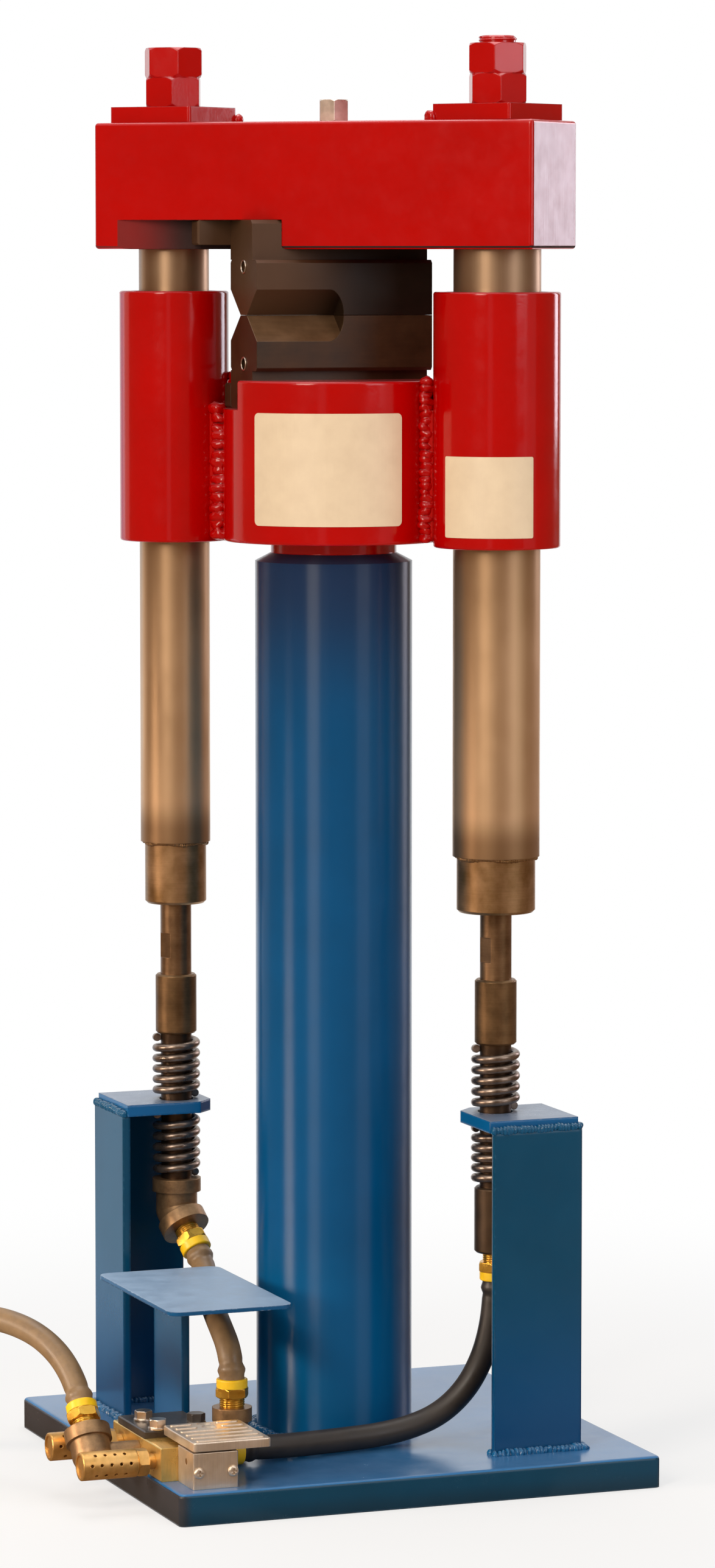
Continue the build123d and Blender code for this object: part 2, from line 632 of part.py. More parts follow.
def elbow(corner, into, out, into_leg, out_leg, body_r, band_r, male):
    """Malleable iron pipe elbow: two round legs, a ball at the corner and a raised band at each mouth."""
    made = Pos(corner) * Sphere(body_r)
    made += bar_along(corner, out, 0, out_leg, body_r)
    made += bar_along(corner, out, out_leg - ELBOW_BAND_H, out_leg, band_r)
    made += bar_along(corner, into, 0, into_leg, STREET_D / 2 if male else body_r)
    if not male:
        made += bar_along(corner, into, into_leg - ELBOW_BAND_H, into_leg, band_r)
    made -= bar_along(corner, out, 0, out_leg, HOSE_BORE / 2)
    return made - bar_along(corner, into, 0, into_leg, HOSE_BORE / 2)


def fitting_plane(mouth, direction):
    side = Vector(0, 1, 0) if abs(direction.X) > abs(direction.Y) else Vector(1, 0, 0)
    return Plane(mouth, x_dir=side - direction * side.dot(direction), z_dir=direction)


def hose_fitting(mouth, direction):
    """Brass push-on hose end: a threaded neck and a hex that the hose butts against."""
    top = BARB_NECK_H + BARB_HEX_H
    made = cylinder(BARB_NECK_D, 0, BARB_NECK_H) + hexagon(BARB_HEX_AF, BARB_NECK_H, top)
    return fitting_plane(mouth, direction) * (made - cylinder(HOSE_BORE, 0, top))


def hose_ring(mouth, direction):
    """Yellow plastic ring pushed over the end of the hose, up to the hex."""
    z0 = BARB_NECK_H + BARB_HEX_H
    ring = cylinder(RING_D, z0, z0 + RING_H)
    ring = fillet(ring.edges().group_by(Axis.Z)[-1], RING_EDGE_R)
    ring -= cylinder(HOSE_D + 2 * FIT, z0, z0 + RING_H)
    return fitting_plane(mouth, direction) * ring


def hose_start(mouth, direction):
    return mouth + direction * (BARB_NECK_H + BARB_HEX_H)


def hose_lead(mouth, direction):
    """First two points of a route: the hose leaves its fitting straight."""
    start = hose_start(mouth, direction)
    return [start, start + direction * HOSE_LEAD]


# Mouths of the fittings and the way that each hose leaves them
UP, DOWN = Vector(0, 0, 1), Vector(0, 0, -1)
LEFT_CORNER = Vector(LEFT.X, LEFT.Y, LEFT_ROD_LOW - ELBOW_LEG)
LEFT_WAY = Vector(math.sin(math.radians(ELBOW_BEND)) * math.cos(math.radians(ELBOW_TURN)),
                  math.sin(math.radians(ELBOW_BEND)) * math.sin(math.radians(ELBOW_TURN)),
                  -math.cos(math.radians(ELBOW_BEND)))
LEFT_MOUTH = LEFT_CORNER + LEFT_WAY * ELBOW_OUTLET_LEG
RIGHT_MOUTH = Vector(RIGHT.X, RIGHT.Y, RIGHT_ROD_LOW - LOWER_COUPLING_H)
VALVE_LEFT_X, VALVE_RIGHT_X = VALVE_X - VALVE_W / 2, VALVE_X + VALVE_W / 2
INLET_CORNER = Vector(VALVE_LEFT_X - INLET_REACH, INLET_Y, VALVE_Z)
INLET_WAY = Vector(0, math.sin(math.radians(INLET_LEAN)), math.cos(math.radians(INLET_LEAN)))
INLET_MOUTH = INLET_CORNER + INLET_WAY * INLET_LEG
OUTLET_CORNER = Vector(VALVE_RIGHT_X + OUTLET_REACH, OUTLET_B_Y, VALVE_Z)
OUTLET_MOUTH = OUTLET_CORNER + UP * OUTLET_LEG
STRAIGHT_MOUTH = Vector(VALVE_RIGHT_X, OUTLET_A_Y, VALVE_Z)
STRAIGHT_WAY = Vector(1, 0, 0)
FRAME_MOUTHS = [(INLET_MOUTH, INLET_WAY), (OUTLET_MOUTH, UP), (STRAIGHT_MOUTH, STRAIGHT_WAY)]

# Hose routes, each from its first fitting to its last, on points measured from the nearer fitting


def beside(mouth, *steps):
    return [mouth + Vector(step) for step in steps]


LEFT_ROUTE = [*hose_lead(OUTLET_MOUTH, UP),
              *beside(OUTLET_MOUTH, (0, 9, 47.3), (1.5, 29, 57.3), (6, 55, 63.3)),
              *beside(LEFT_MOUTH, (-6.66, -82.34, -48.86), (-0.66, -57.34, -42.86), (4.34, -35.34, -33.86)),
              *reversed(hose_lead(LEFT_MOUTH, LEFT_WAY))]
RIGHT_ROUTE = [*hose_lead(STRAIGHT_MOUTH, STRAIGHT_WAY),
               *beside(STRAIGHT_MOUTH, (53, 3, -1.2), (83, 9.5, -2.4), (115, 15.5, -2.7)),
               *beside(RIGHT_MOUTH, (-101, 4, -144), (-72, 5, -140), (-46, 4, -130.5), (-25, 2.5, -112.5),
                       (-11, 1, -88.5), (-3, 0, -60.5)),
               *reversed(hose_lead(RIGHT_MOUTH, DOWN))]
UNDER_INLET = Vector(INLET_MOUTH.X, INLET_MOUTH.Y, 0)
SUPPLY_ROUTE = [*hose_lead(INLET_MOUTH, INLET_WAY),
                *beside(UNDER_INLET, (-3, 32.5, 97), (-10, 48.5, 112), (-22, 67.5, 124), (-39, 89.5, 131),
                        (-59, 113.5, 132), (-78, 137.5, 124), (-94, 160.5, 107), (-106, 181.5, 82),
                        (-114, 201.5, 55), (-119.5, 221.5, 31), (-123, 244.5, 15.5), (-125.5, 272.5, 10.5),
                        (-126.5, 301.5, 10.1))]
END_HEX_AF = 18.0
END_HEX_L = 12.0
END_NIPPLE_D = 13.5
END_NIPPLE_L = 24.0
END_GROOVE = 2.0
END_GROOVE_L = 4.0
ARC_SHARE = 0.45


def hose(route, name):
    """Rubber air hose along straight runs joined by arcs as large as the runs allow."""
    points = [Vector(point) for point in route]
    radii = []
    for before, here, after in zip(points, points[1:], points[2:]):
        turn = math.radians((here - before).get_angle(after - here))
        run = min((here - before).length, (after - here).length)
        radii.append(ARC_SHARE * run / math.tan(turn / 2))
    wire = FilletPolyline(*points, radius=radii).wire()
    start = (points[1] - points[0]).normalized()
    section = Plane(points[0], z_dir=start) * (Circle(HOSE_D / 2) - Circle(HOSE_BORE / 2))
    tube = sweep(section, path=wire)
    ideal = wire.length * math.pi * (HOSE_D ** 2 - HOSE_BORE ** 2) / 4
    share = tube.volume / ideal
    print(f"{name}: length {wire.length:.1f} mm, least radius {min(radii):.0f} mm, volume ratio {share:.4f}")
    return tube


def supply_end_fitting():
    """Quick-connect plug on the free end of the supply hose, lying on the floor."""
    last = (Vector(SUPPLY_ROUTE[-1]) - Vector(SUPPLY_ROUTE[-2])).normalized()
    length = END_HEX_L + END_NIPPLE_L
    made = hexagon(END_HEX_AF, 0, END_HEX_L) + cylinder(END_NIPPLE_D, END_HEX_L, length)
    middle = END_HEX_L + END_NIPPLE_L / 2
    groove = cylinder(2 * END_NIPPLE_D, middle, middle + END_GROOVE_L)
    groove -= cylinder(END_NIPPLE_D - 2 * END_GROOVE, middle, middle + END_GROOVE_L)
    made -= groove + cylinder(END_NIPPLE_D - 3 * END_GROOVE, 0, length)
    return fitting_plane(Vector(SUPPLY_ROUTE[-1]), last) * made


def along_y(shape):
    """Lay a shape made along Z down along +Y, on the spool's axis."""
    return Pos(SPOOL_X, 0, VALVE_Z) * Rot(-90, 0, 0) * shape


def valve_body():
    body = block(VALVE_LEFT_X, VALVE_RIGHT_X, VALVE_FRONT_Y, VALVE_REAR_Y, BASE_T, VALVE_TOP_Z)
    body = chamfer(body.edges().filter_by(Axis.Y), VALVE_BREAK)
    body -= along_y(cylinder(SPOOL_D + 2 * RUN, VALVE_FRONT_Y, BORE_END_Y))
    for y in (FRONT_MUFFLER_Y, INLET_Y, REAR_MUFFLER_Y):
        port = Vector(VALVE_LEFT_X, y, VALVE_Z)
        body -= bar_along(port, STRAIGHT_WAY, 0, SPOOL_X - VALVE_LEFT_X, PORT_D / 2)
    for y in (OUTLET_A_Y, OUTLET_B_Y):
        body -= bar_along(Vector(SPOOL_X, y, VALVE_Z), STRAIGHT_WAY, 0, VALVE_RIGHT_X - SPOOL_X, PORT_D / 2)
    for place in BOLT_PLACES:
        body -= cylinder(CLAMP_BOLT_D + 2 * FIT, BASE_T, VALVE_TOP_Z, place)
    return body


def valve_spool():
    """Four-land spool with a nose that reaches the pedal's ear."""
    front = PIN_Y + EAR_L / 2 + EAR_GAP
    rear = BORE_END_Y - SPOOL_REAR_ROOM
    spool = cylinder(SPOOL_NECK_D, front, rear)
    first = VALVE_FRONT_Y + SPOOL_FRONT_ROOM
    pitch = (rear - SPOOL_LAND_L - first) / (SPOOL_LANDS - 1)
    for land in range(SPOOL_LANDS):
        z0 = first + land * pitch
        spool += cylinder(SPOOL_D, z0, z0 + SPOOL_LAND_L)
    return along_y(spool)


def spool_spring():
    """Stack of wire turns that returns the spool, drawn as the tube that it fills."""
    z0 = BORE_END_Y - SPOOL_REAR_ROOM + EAR_GAP
    return along_y(cylinder(SPOOL_D - 1, z0, BORE_END_Y) - cylinder(SPOOL_NECK_D, z0, BORE_END_Y))


def actuator_block():
    x0, x1 = SPOOL_X - BLOCK_W / 2, SPOOL_X + BLOCK_W / 2
    made = block(x0, x1, BLOCK_FRONT_Y, VALVE_FRONT_Y, BASE_T, BLOCK_TOP_Z)
    made = chamfer(made.edges().filter_by(Axis.Z), VALVE_BREAK)
    slot_z = PEDAL_Z0 - EAR_H - EAR_ROOM
    half = EAR_L / 2 + EAR_ROOM
    side = BLOCK_SLOT_W / 2
    made -= block(SPOOL_X - side, SPOOL_X + side, PIN_Y - half, PIN_Y + half, slot_z, BLOCK_TOP_Z)
    made -= along_y(cylinder(SPOOL_NECK_D + 2 * RUN, PIN_Y, VALVE_FRONT_Y))
    made -= bar_along(Vector(x0, PIN_Y, PIN_Z), Vector(1, 0, 0), 0, BLOCK_W, PIN_D / 2 + FIT)
    for x in screw_places():
        hole = Vector(x, BLOCK_FRONT_Y, VALVE_Z)
        made -= bar_along(hole, Vector(0, 1, 0), 0, SCREW_DEPTH, SCREW_D / 2 + FIT)
    return made


def screw_places():
    return SPOOL_X - SCREW_PITCH / 2, SPOOL_X + SCREW_PITCH / 2


def actuator_screws():
    screws = []
    for x in screw_places():
        head = cylinder(SCREW_HEAD_D, -SCREW_HEAD_H, 0)
        head = fillet(head.edges().group_by(Axis.Z)[0], SCREW_HEAD_H * SCREW_DOME)
        for long, wide in ((SCREW_SLOT_L, SCREW_SLOT_W), (SCREW_SLOT_W, SCREW_SLOT_L)):
            slot_z = SCREW_SLOT_DEPTH - SCREW_HEAD_H
            head -= block(-long / 2, long / 2, -wide / 2, wide / 2, -SCREW_HEAD_H, slot_z)
        head += cylinder(SCREW_D, 0, SCREW_DEPTH - FIT)
        screws.append(Pos(x, BLOCK_FRONT_Y, VALVE_Z) * Rot(-90, 0, 0) * head)
    return screws


def pedal():
    """Ribbed aluminium treadle with an ear that hangs in the block on the pivot pin."""
    x0, x1 = PEDAL_X - PEDAL_W / 2, PEDAL_X + PEDAL_W / 2
    y0, y1 = BLOCK_FRONT_Y, BLOCK_FRONT_Y + PEDAL_L
    top = PEDAL_Z0 + PEDAL_T
    plate = block(x0, x1, y0, y1, PEDAL_Z0, top)
    plate = fillet(plate.edges().filter_by(Axis.Z), PEDAL_CORNER_R)
    plate = fillet(plate.faces().sort_by(Axis.Z)[-1].edges(), PEDAL_TOP_BREAK)
    pitch = PEDAL_L / PEDAL_RIBS
    holes = []
    for rib in range(PEDAL_RIBS):
        y = y0 + (rib + 0.5) * pitch
        stretches = [(x0 + PEDAL_RIB_INSET, x1 - PEDAL_RIB_INSET)]
        if rib >= PEDAL_RIBS - PEDAL_SPLIT_RIBS:
            stretches = [(x0 + PEDAL_RIB_INSET, PEDAL_X - PEDAL_HOLE_ROOM),
                         (PEDAL_X + PEDAL_HOLE_ROOM, x1 - PEDAL_RIB_INSET)]
            holes.append(Vector(PEDAL_X, y))
        for left, right in stretches:
            bar = block(left, right, y - PEDAL_RIB_W / 2, y + PEDAL_RIB_W / 2, top, top + PEDAL_RIB)
            plate += fillet(bar.edges().filter_by(Axis.Z), PEDAL_RIB_W * PEDAL_RIB_ROUND)
    for place in holes:
        plate -= cylinder(PEDAL_HOLE_D, PEDAL_Z0, top, place)
        sink = Cone(PEDAL_HOLE_D / 2, PEDAL_SINK_D / 2, (PEDAL_SINK_D - PEDAL_HOLE_D) / 2,
                    align=(Align.CENTER, Align.CENTER, Align.MAX))
        plate -= Pos(place.X, place.Y, top) * sink
    ear = block(SPOOL_X - EAR_W / 2, SPOOL_X + EAR_W / 2, PIN_Y - EAR_L / 2, PIN_Y + EAR_L / 2,
                PEDAL_Z0 - EAR_H, PEDAL_Z0)
    pivot = bar_along(Vector(SPOOL_X - EAR_W, PIN_Y, PIN_Z), Vector(1, 0, 0), 0, 2 * EAR_W, PIN_D / 2 + RUN)
    return plate + ear - pivot


def pedal_pin():
    return bar_along(Vector(SPOOL_X - BLOCK_W / 2, PIN_Y, PIN_Z), Vector(1, 0, 0), 0, BLOCK_W, PIN_D / 2)


def valve_clamp_plate():
    right_x, rear_y = VALVE_RIGHT_X - CLAMP_INSET, CLAMP_FRONT_Y + CLAMP_L
    plate = block(VALVE_LEFT_X, right_x, CLAMP_FRONT_Y, rear_y, VALVE_TOP_Z, CLAMP_TOP_Z)
    plate = chamfer(plate.faces().sort_by(Axis.Z)[-1].edges(), VALVE_BREAK)
    for place in BOLT_PLACES:
        plate -= cylinder(CLAMP_BOLT_D + 2 * FIT, VALVE_TOP_Z, CLAMP_TOP_Z, place)
    return plate


def clamp_bolts():
    """Hex bolts with washers that hold the clamp plate and the valve down on the base."""
    bolts = []
    for turn, place in enumerate(BOLT_PLACES):
        z0 = CLAMP_TOP_Z + CLAMP_WASHER_T
        washer = cylinder(CLAMP_WASHER_D, CLAMP_TOP_Z, z0, place)
        washer -= cylinder(CLAMP_BOLT_D + 2 * FIT, CLAMP_TOP_Z, z0, place)
        head = hexagon(CLAMP_BOLT_AF, z0, z0 + CLAMP_BOLT_HEAD_H, place, 10 + 17 * turn)
        bolts += [washer, head + cylinder(CLAMP_BOLT_D, BASE_T - BOLT_BITE, z0, place)]
    return bolts


def muffler_shape():
    """Bronze exhaust silencer: threaded neck, hex and a round barrel drilled with staggered rows of holes."""
    hex_end = MUFFLER_NECK_L + MUFFLER_HEX_L
    length = hex_end + MUFFLER_L
    barrel = cylinder(MUFFLER_D, hex_end, length)
    barrel = fillet(barrel.edges().filter_by(GeomType.CIRCLE), MUFFLER_EDGE_R)
    made = cylinder(PORT_D, 0, MUFFLER_NECK_L) + hexagon(MUFFLER_HEX_AF, MUFFLER_NECK_L, hex_end) + barrel
    made -= cylinder(MUFFLER_D - 2 * MUFFLER_WALL, hex_end, length - MUFFLER_WALL - MUFFLER_DISH)
    made -= cylinder(MUFFLER_BORE, 0, hex_end)
    made -= cylinder(MUFFLER_D - 2 * MUFFLER_RIM, length - MUFFLER_DISH, length)
    holes = []
    for row in range(MUFFLER_HOLE_ROWS):
        turn = math.radians(MUFFLER_HOLE_TURN + row * 360 / MUFFLER_HOLE_ROWS)
        way = Vector(math.cos(turn), math.sin(turn), 0)
        count = MUFFLER_HOLES - row % 2
        first = hex_end + MUFFLER_L / 2 - (count - 1) * MUFFLER_HOLE_PITCH / 2
        for hole in range(count):
            at = Vector(0, 0, first + hole * MUFFLER_HOLE_PITCH)
            inside = MUFFLER_D / 2 - 2 * MUFFLER_WALL
            holes.append(bar_along(at, way, inside, MUFFLER_D, MUFFLER_HOLE_D / 2))
    return made - holes


def mufflers():
    shape = muffler_shape()
    places = [Plane((VALVE_LEFT_X, y, VALVE_Z), x_dir=(0, 1, 0), z_dir=(-1, 0, 0))
              for y in (FRONT_MUFFLER_Y, REAR_MUFFLER_Y)]
    return [place * shape for place in places]


def pedal_guard_post():
    side, top = POST_T / 2, GUARD_TOP_Z - GUARD_T
    return block(POST_X - side, POST_X + side, GUARD_Y1 - POST_W, GUARD_Y1, BASE_T, top)


def pedal_guard_plate():
    plate = block(GUARD_X0, GUARD_X1, GUARD_Y0, GUARD_Y1, GUARD_TOP_Z - GUARD_T, GUARD_TOP_Z)
    return fillet(plate.edges().filter_by(Axis.Z), GUARD_CORNER_R)


def tapped_base():
    base = base_plate()
    for place in BOLT_PLACES:
        base -= cylinder(CLAMP_BOLT_D + 2 * FIT, BASE_T - BOLT_BITE, BASE_T, place)
    return base


def left_lower_elbow():
    made = elbow(LEFT_CORNER, UP, LEFT_WAY, ELBOW_LEG, ELBOW_OUTLET_LEG, ELBOW_BODY_R, ELBOW_BAND_R, False)
    return made - cylinder(ROD_D + 2 * FIT, LEFT_ROD_LOW - ROD_BITE, LEFT_ROD_LOW, LEFT)


def right_lower_coupling():
    low = RIGHT_ROD_LOW - LOWER_COUPLING_H
    sleeve = cylinder(COUPLING_D, low, RIGHT_ROD_LOW, RIGHT)
    sleeve = chamfer(sleeve.edges().filter_by(GeomType.CIRCLE), COUPLING_CHAMFER)
    sleeve -= cylinder(ROD_D + 2 * FIT, RIGHT_ROD_LOW - ROD_BITE, RIGHT_ROD_LOW, RIGHT)
    return sleeve - cylinder(HOSE_BORE, low, RIGHT_ROD_LOW, RIGHT)


def pieces():
    """Every node of the part, by name."""
    left_coupling_top = LEFT_PLATE_TOP_Z + UPPER_SPRING_H + LEFT_COUPLING_H
    right_coupling_top = RIGHT_PLATE_TOP_Z + UPPER_SPRING_H + RIGHT_COUPLING_H
    welds = []
    for side, sleeve_d, out in ((-1, LEFT_SLEEVE_D, LEFT_WELD_OUT), (1, RIGHT_SLEEVE_D, RIGHT_WELD_OUT)):
        welds += [sleeve_weld(side, sleeve_d, out, front) for front in (-1, 1)]
    return {
        "base_plate": tapped_base(),
        "anvil_column": anvil_column(),
        "anvil_cap": anvil_cap(),
        "left_guide_sleeve": guide_sleeve(LEFT_SLEEVE_D, LEFT_TUBE_D, LEFT),
        "right_guide_sleeve": guide_sleeve(RIGHT_SLEEVE_D, RIGHT_TUBE_D, RIGHT),
        "guide_bushes": guide_bushes(LEFT_TUBE_D, LEFT) + guide_bushes(RIGHT_TUBE_D, RIGHT),
        "sleeve_welds": welds,
        "lower_die": die(False),
        "lower_die_key": die_key(False),
        "left_stand": stand(LEFT, LEFT_PLATE_TOP_Z),
        "right_stand": stand(RIGHT, RIGHT_PLATE_TOP_Z),
        "stand_plates": [stand_plate(LEFT, LEFT_PLATE_TOP_Z), stand_plate(RIGHT, RIGHT_PLATE_TOP_Z)],
        "left_upper_spring": coil_spring(LEFT, LEFT_PLATE_TOP_Z, UPPER_SPRING_H),
        "left_lower_spring": coil_spring(LEFT, LEFT_ROD_LOW, LEFT_LOWER_SPRING_H),
        "right_upper_spring": coil_spring(RIGHT, RIGHT_PLATE_TOP_Z, UPPER_SPRING_H),
        "right_lower_spring": coil_spring(RIGHT, RIGHT_ROD_LOW, RIGHT_LOWER_SPRING_H),
        "pedal_guard_post": pedal_guard_post(),
        "pedal_guard_plate": pedal_guard_plate(),
        "valve_body": valve_body(),
        "valve_spool": valve_spool(),
        "spool_spring": spool_spring(),
        "actuator_block": actuator_block(),
        "actuator_screws": actuator_screws(),
        "pedal": pedal(),
        "pedal_pin": pedal_pin(),
        "valve_clamp_plate": valve_clamp_plate(),
        "clamp_bolts": clamp_bolts(),
        "mufflers": mufflers(),
        "inlet_elbow": elbow(INLET_CORNER, Vector(1, 0, 0), INLET_WAY, INLET_REACH, INLET_LEG,
                             INLET_BODY_R, INLET_BAND_R, True),
        "outlet_elbow": elbow(OUTLET_CORNER, Vector(-1, 0, 0), UP, OUTLET_REACH, OUTLET_LEG,
                              OUTLET_BODY_R, OUTLET_BAND_R, True),
        "hose_fittings": [hose_fitting(mouth, way) for mouth, way in FRAME_MOUTHS],
        "hose_rings": [hose_ring(mouth, way) for mouth, way in FRAME_MOUTHS],
        "left_hose": hose(LEFT_ROUTE, "left hose"),
        "right_hose": hose(RIGHT_ROUTE, "right hose"),
        "supply_hose": hose(SUPPLY_ROUTE, "supply hose"),
        "supply_end_fitting": supply_end_fitting(),
        "crosshead": crosshead(),
        "left_cylinder_tube": cylinder_tube(LEFT_TUBE_D, LEFT),
        "right_cylinder_tube": cylinder_tube(RIGHT_TUBE_D, RIGHT),
        "tube_heads": [tube_head(LEFT_TUBE_D, LEFT_STUD_TOP_Z, LEFT),
                       tube_head(RIGHT_TUBE_D, RIGHT_STUD_TOP_Z, RIGHT)],
        "left_gland": gland(LEFT_TUBE_D, LEFT_GLAND_D, LEFT_GLAND_BOTTOM_Z, LEFT),
        "right_gland": gland(RIGHT_TUBE_D, RIGHT_GLAND_D, RIGHT_GLAND_BOTTOM_Z, RIGHT),
        "rod_seals": rod_seals(),
        "crosshead_washers": crosshead_washers(),
        "crosshead_nuts": crosshead_nuts(),
        "upper_die": die(True),
        "upper_die_key": die_key(True),
        "upper_die_bolt": upper_die_bolt(),
        "left_piston_rod": piston_rod(LEFT, LEFT_ROD_LOW - ROD_BITE, left_coupling_top),
        "right_piston_rod": piston_rod(RIGHT, RIGHT_ROD_LOW - ROD_BITE, right_coupling_top),
        "left_piston": [piston(LEFT_TUBE_D, LEFT), piston_seal(LEFT_TUBE_D, LEFT)],
        "right_piston": [piston(RIGHT_TUBE_D, RIGHT), piston_seal(RIGHT_TUBE_D, RIGHT)],
        "left_upper_coupling": coupling(LEFT, left_coupling_top - LEFT_COUPLING_H, LEFT_COUPLING_H),
        "right_upper_coupling": coupling(RIGHT, right_coupling_top - RIGHT_COUPLING_H, RIGHT_COUPLING_H),
        "left_lower_elbow": left_lower_elbow(),
        "right_lower_coupling": right_lower_coupling(),
        "left_hose_fitting": hose_fitting(LEFT_MOUTH, LEFT_WAY),
        "right_hose_fitting": hose_fitting(RIGHT_MOUTH, DOWN),
        "left_hose_ring": hose_ring(LEFT_MOUTH, LEFT_WAY),
        "right_hose_ring": hose_ring(RIGHT_MOUTH, DOWN),
    }


os.makedirs("parts", exist_ok=True)
for node, shape in pieces().items():
    solids = shape if isinstance(shape, list) else [shape]
    made = [solid for piece in solids for solid in piece.solids()]
    export_step(made[0] if len(made) == 1 else Compound(made), f"parts/{node}.step")
    print(f"{node}: {len(made)} solid(s)")
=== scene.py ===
"""Pneumatic power hammer: the looks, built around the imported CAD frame, in metres.

Two air cylinders in guide sleeves drive a crosshead down on an anvil. A foot valve feeds them through hoses.
"""
import math

import bmesh
import bpy
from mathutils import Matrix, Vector


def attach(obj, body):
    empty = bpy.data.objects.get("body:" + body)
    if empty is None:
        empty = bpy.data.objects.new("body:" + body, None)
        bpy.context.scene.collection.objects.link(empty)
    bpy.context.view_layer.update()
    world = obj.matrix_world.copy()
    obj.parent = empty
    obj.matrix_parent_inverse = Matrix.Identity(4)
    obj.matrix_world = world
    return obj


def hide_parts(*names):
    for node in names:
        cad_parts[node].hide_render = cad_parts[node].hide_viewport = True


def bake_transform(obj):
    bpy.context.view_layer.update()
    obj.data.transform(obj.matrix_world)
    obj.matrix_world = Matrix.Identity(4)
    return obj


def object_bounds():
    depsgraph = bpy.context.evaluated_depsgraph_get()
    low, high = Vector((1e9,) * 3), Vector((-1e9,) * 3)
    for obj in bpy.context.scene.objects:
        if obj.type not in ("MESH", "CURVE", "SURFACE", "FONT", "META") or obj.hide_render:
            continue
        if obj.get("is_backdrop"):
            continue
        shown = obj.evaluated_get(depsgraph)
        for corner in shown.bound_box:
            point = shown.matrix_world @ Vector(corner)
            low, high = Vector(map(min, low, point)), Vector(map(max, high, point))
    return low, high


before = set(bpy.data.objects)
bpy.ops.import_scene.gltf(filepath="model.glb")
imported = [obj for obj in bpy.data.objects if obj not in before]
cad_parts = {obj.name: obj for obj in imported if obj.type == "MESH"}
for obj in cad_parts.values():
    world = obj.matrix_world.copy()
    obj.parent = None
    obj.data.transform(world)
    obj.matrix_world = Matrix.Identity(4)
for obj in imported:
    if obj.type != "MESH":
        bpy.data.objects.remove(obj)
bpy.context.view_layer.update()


# The studio: a pale seamless floor, a soft key from the upper left, a broad fill from the right,
# and a long lens low in front of the machine's left corner.
def linear(code):
    """An sRGB hex colour as the linear numbers that Blender's sockets take."""
    parts = [int(code[i:i + 2], 16) / 255 for i in (1, 3, 5)]
    return tuple(p / 12.92 if p <= 0.04045 else ((p + 0.055) / 1.055) ** 2.4 for p in parts) + (1.0,)


def add(tree, kind, inputs=None, **settings):
    """Adds one node: its settings, then each input as a value or as a link from an output."""
    made = tree.nodes.new(kind)
    for name, value in settings.items():
        setattr(made, name, value)
    for name, value in (inputs or {}).items():
        if isinstance(value, bpy.types.NodeSocket):
            tree.links.new(value, made.inputs[name])
        else:
            made.inputs[name].default_value = value
    return made


def new_material(name):
    """An empty node material with its output."""
    made = bpy.data.materials.new(name)
    made.use_nodes = True
    made.node_tree.nodes.clear()
    return made, made.node_tree, made.node_tree.nodes.new("ShaderNodeOutputMaterial")


def seen_or_mirrored(tree):
    """One for a ray from the camera, a mirror or a clear body, so that these find a white room."""
    ray = add(tree, "ShaderNodeLightPath")
    mirrored = add(tree, "ShaderNodeMath", {0: ray.outputs["Is Glossy Ray"],
                                            1: ray.outputs["Is Transmission Ray"]}, operation="MAXIMUM")
    seen = add(tree, "ShaderNodeMath", {0: ray.outputs["Is Camera Ray"], 1: mirrored.outputs[0]},
               operation="MAXIMUM")
    return seen.outputs[0]


FLOOR_REACH = 9.0
paper, tree, out = new_material("matt_paper_backdrop")
place = add(tree, "ShaderNodeTexCoord")
away = add(tree, "ShaderNodeVectorMath", {0: place.outputs["Object"]}, operation="LENGTH")
fade = add(tree, "ShaderNodeMapRange", {"Value": away.outputs["Value"], "From Min": 0.25, "From Max": 1.3,
                                        "To Min": 0.62, "To Max": 1.0}, interpolation_type="SMOOTHSTEP")
glow_share = add(tree, "ShaderNodeMath", {0: seen_or_mirrored(tree), 1: fade.outputs[0]},
                 operation="MULTIPLY")
matt = add(tree, "ShaderNodeBsdfDiffuse", {"Color": linear("#ececec")})
lift = add(tree, "ShaderNodeEmission", {"Color": linear("#ffffff"), "Strength": 1.0})
share = add(tree, "ShaderNodeMixShader", {0: glow_share.outputs[0], 1: matt.outputs[0], 2: lift.outputs[0]})
tree.links.new(share.outputs[0], out.inputs["Surface"])
floor_mesh = bpy.data.meshes.new("studio_floor")
corners = [(x * FLOOR_REACH, y * FLOOR_REACH, 0) for x, y in ((-1, -1), (1, -1), (1, 1), (-1, 1))]
floor_mesh.from_pydata(corners, [], [(0, 1, 2, 3)])
floor_mesh.materials.append(paper)
studio_floor = bpy.data.objects.new("studio_floor", floor_mesh)
bpy.context.scene.collection.objects.link(studio_floor)
studio_floor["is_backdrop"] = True

world = bpy.data.worlds.new("studio_air")
bpy.context.scene.world = world
world.use_nodes = True
tree = world.node_tree
tree.nodes.clear()
air = add(tree, "ShaderNodeBackground", {"Color": linear("#f3efe9"), "Strength": 0.42})
white = add(tree, "ShaderNodeBackground", {"Color": linear("#ffffff"), "Strength": 1.0})
sky = add(tree, "ShaderNodeMixShader", {0: seen_or_mirrored(tree), 1: air.outputs[0], 2: white.outputs[0]})
add(tree, "ShaderNodeOutputWorld", {"Surface": sky.outputs[0]})

